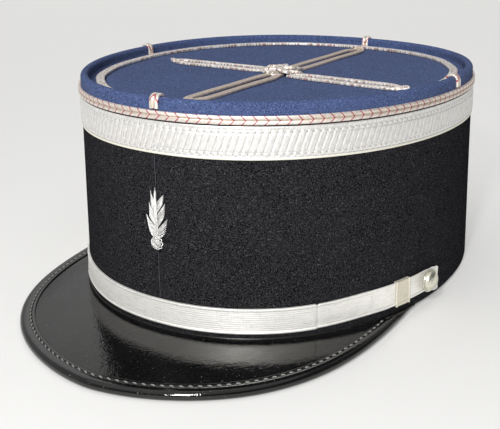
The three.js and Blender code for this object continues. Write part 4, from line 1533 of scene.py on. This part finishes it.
class KEPI_OT_stage(bpy.types.Operator):
    """Set up the floor, the lights and the camera"""

    bl_idname = "kepi.stage"
    bl_label = "Stage"

    def execute(self, context):
        stage = context.scene.kepi_stage
        self.add_floor(context, stage)
        self.add_lights(context, stage)
        self.add_camera(context, stage)
        return {"FINISHED"}

    def add_floor(self, context, stage):
        shape = bmesh.new()
        bmesh.ops.create_circle(shape, cap_ends=True, segments=96, radius=FLOOR_RADIUS)
        mesh = bpy.data.meshes.new("floor")
        shape.to_mesh(mesh)
        shape.free()
        mesh.materials.append(pale_floor("pale floor", stage.floor_colour))
        floor = bpy.data.objects.new("floor", mesh)
        context.scene.collection.objects.link(floor)

    def add_lights(self, context, stage):
        sky = Finish("pale surround", bpy.data.worlds.new("pale surround"))
        bright_side = (-0.94, 0.342, 0.0)
        direction = sky.node("ShaderNodeTexCoord", output="Generated")
        backward = sky.node("ShaderNodeVectorMath", {"operation": "DOT_PRODUCT"},
                            {0: direction, 1: bright_side}, "Value")
        height = sky.node("ShaderNodeSeparateXYZ", (), {"Vector": direction}, "Z")
        colour = sky.mix(backward.rise(-0.6, 0.8), tint((stage.surround * 0.1,) * 3),
                         tint((stage.surround,) * 3))
        colour = sky.mix(height.rise(0.02, 0.12), tint((0.5, 0.5, 0.49)), colour)
        shader = sky.node("ShaderNodeBackground", (), {"Color": colour})
        context.scene.world = sky.shown(shader, "ShaderNodeOutputWorld")
        # Name, kind, direction and height in degrees, distance, size or angle, and strength.
        lights = (
            ("key", "SUN", 20, 30, 2.0, math.radians(9), stage.key_power),
            ("near key", "AREA", 20, 33, 0.5, 0.045, stage.near_power),
            ("ceiling", "SUN", 20, 76, 2.0, math.radians(80), stage.ceiling),
            ("fill left", "AREA", -140, 38, 1.8, 1.2, stage.fill_power),
            ("fill right", "AREA", 170, 38, 1.8, 1.2, stage.fill_power * 0.3),
        )
        for name, kind, azimuth, elevation, distance, size, power in lights:
            light = bpy.data.lights.new(name, kind)
            light.energy = power
            if kind == "AREA":
                light.shape = "DISK"
                light.size = size
            else:
                light.angle = size
            lamp = bpy.data.objects.new(name, light)
            turn, rise = math.radians(azimuth), math.radians(elevation)
            away = Vector((math.sin(turn) * math.cos(rise), -math.cos(turn) * math.cos(rise),
                           math.sin(rise)))
            lamp.location = Vector((0, 0, 0.05)) + away * distance
            lamp.rotation_euler = away.to_track_quat("Z", "Y").to_euler()
            context.scene.collection.objects.link(lamp)

    def add_camera(self, context, stage):
        turn, rise, roll = stage.azimuth, stage.elevation, stage.roll
        back = np.array([math.sin(turn) * math.cos(rise), -math.cos(turn) * math.cos(rise),
                         math.sin(rise)])
        right = np.array([math.cos(turn), math.sin(turn), 0.0])
        up = np.cross(back, right)
        level = right * math.cos(roll) + up * math.sin(roll)
        tilt = up * math.cos(roll) - right * math.sin(roll)
        look_at = right * stage.aside + np.array([0, 0, stage.height])
        middle = (look_at + back * stage.distance) * 1000
        spot = laid(middle)
        axes = [laid(middle + axis * 1000) - spot for axis in (level, tilt, back)]
        camera = bpy.data.cameras.new("camera")
        camera.sensor_fit = "HORIZONTAL"
        camera.sensor_width = 36
        camera.lens = stage.lens
        camera.clip_start = 0.01
        holder = bpy.data.objects.new("camera", camera)
        facing = Matrix(np.array(axes).T.tolist()).to_4x4()
        holder.matrix_world = Matrix.Translation(spot.tolist()) @ facing
        context.scene.collection.objects.link(holder)
        context.scene.camera = holder
        context.scene.view_settings.view_transform = "Standard"


STEPS = (KEPI_OT_stage, KEPI_OT_wall, KEPI_OT_top, KEPI_OT_lace, KEPI_OT_braid, KEPI_OT_tabs,
         KEPI_OT_cross, KEPI_OT_peak, KEPI_OT_strap, KEPI_OT_buttons, KEPI_OT_badge)
GROUPS = {"kepi_cloth": KepiCloth, "kepi_trim": KepiTrim, "kepi_peak": KepiPeak,
          "kepi_stage": KepiStage}


class KEPI_PT_panel(bpy.types.Panel):
    """Lists the kepi's settings and the steps that build it"""

    bl_label = "Kepi cap"
    bl_idname = "KEPI_PT_panel"
    bl_space_type = "VIEW_3D"
    bl_region_type = "UI"
    bl_category = "Kepi"

    def draw(self, context):
        for name, group in GROUPS.items():
            box = self.layout.box()
            box.label(text=name.replace("kepi_", "").capitalize())
            for setting in group.__annotations__:
                box.prop(getattr(context.scene, name), setting)
        for step in STEPS:
            self.layout.operator(step.bl_idname)


def register():
    for group in GROUPS.values():
        bpy.utils.register_class(group)
    for name, group in GROUPS.items():
        setattr(bpy.types.Scene, name, bpy.props.PointerProperty(type=group))
    for step in STEPS:
        bpy.utils.register_class(step)
    bpy.utils.register_class(KEPI_PT_panel)


def unregister():
    bpy.utils.unregister_class(KEPI_PT_panel)
    for step in reversed(STEPS):
        bpy.utils.unregister_class(step)
    for name in GROUPS:
        delattr(bpy.types.Scene, name)
    for group in reversed(GROUPS.values()):
        bpy.utils.unregister_class(group)


def main():
    register()
    for step in STEPS:
        group, name = step.bl_idname.split(".")
        getattr(getattr(bpy.ops, group), name)()
    bpy.context.view_layer.update()


if __name__ == "__main__":
    main()
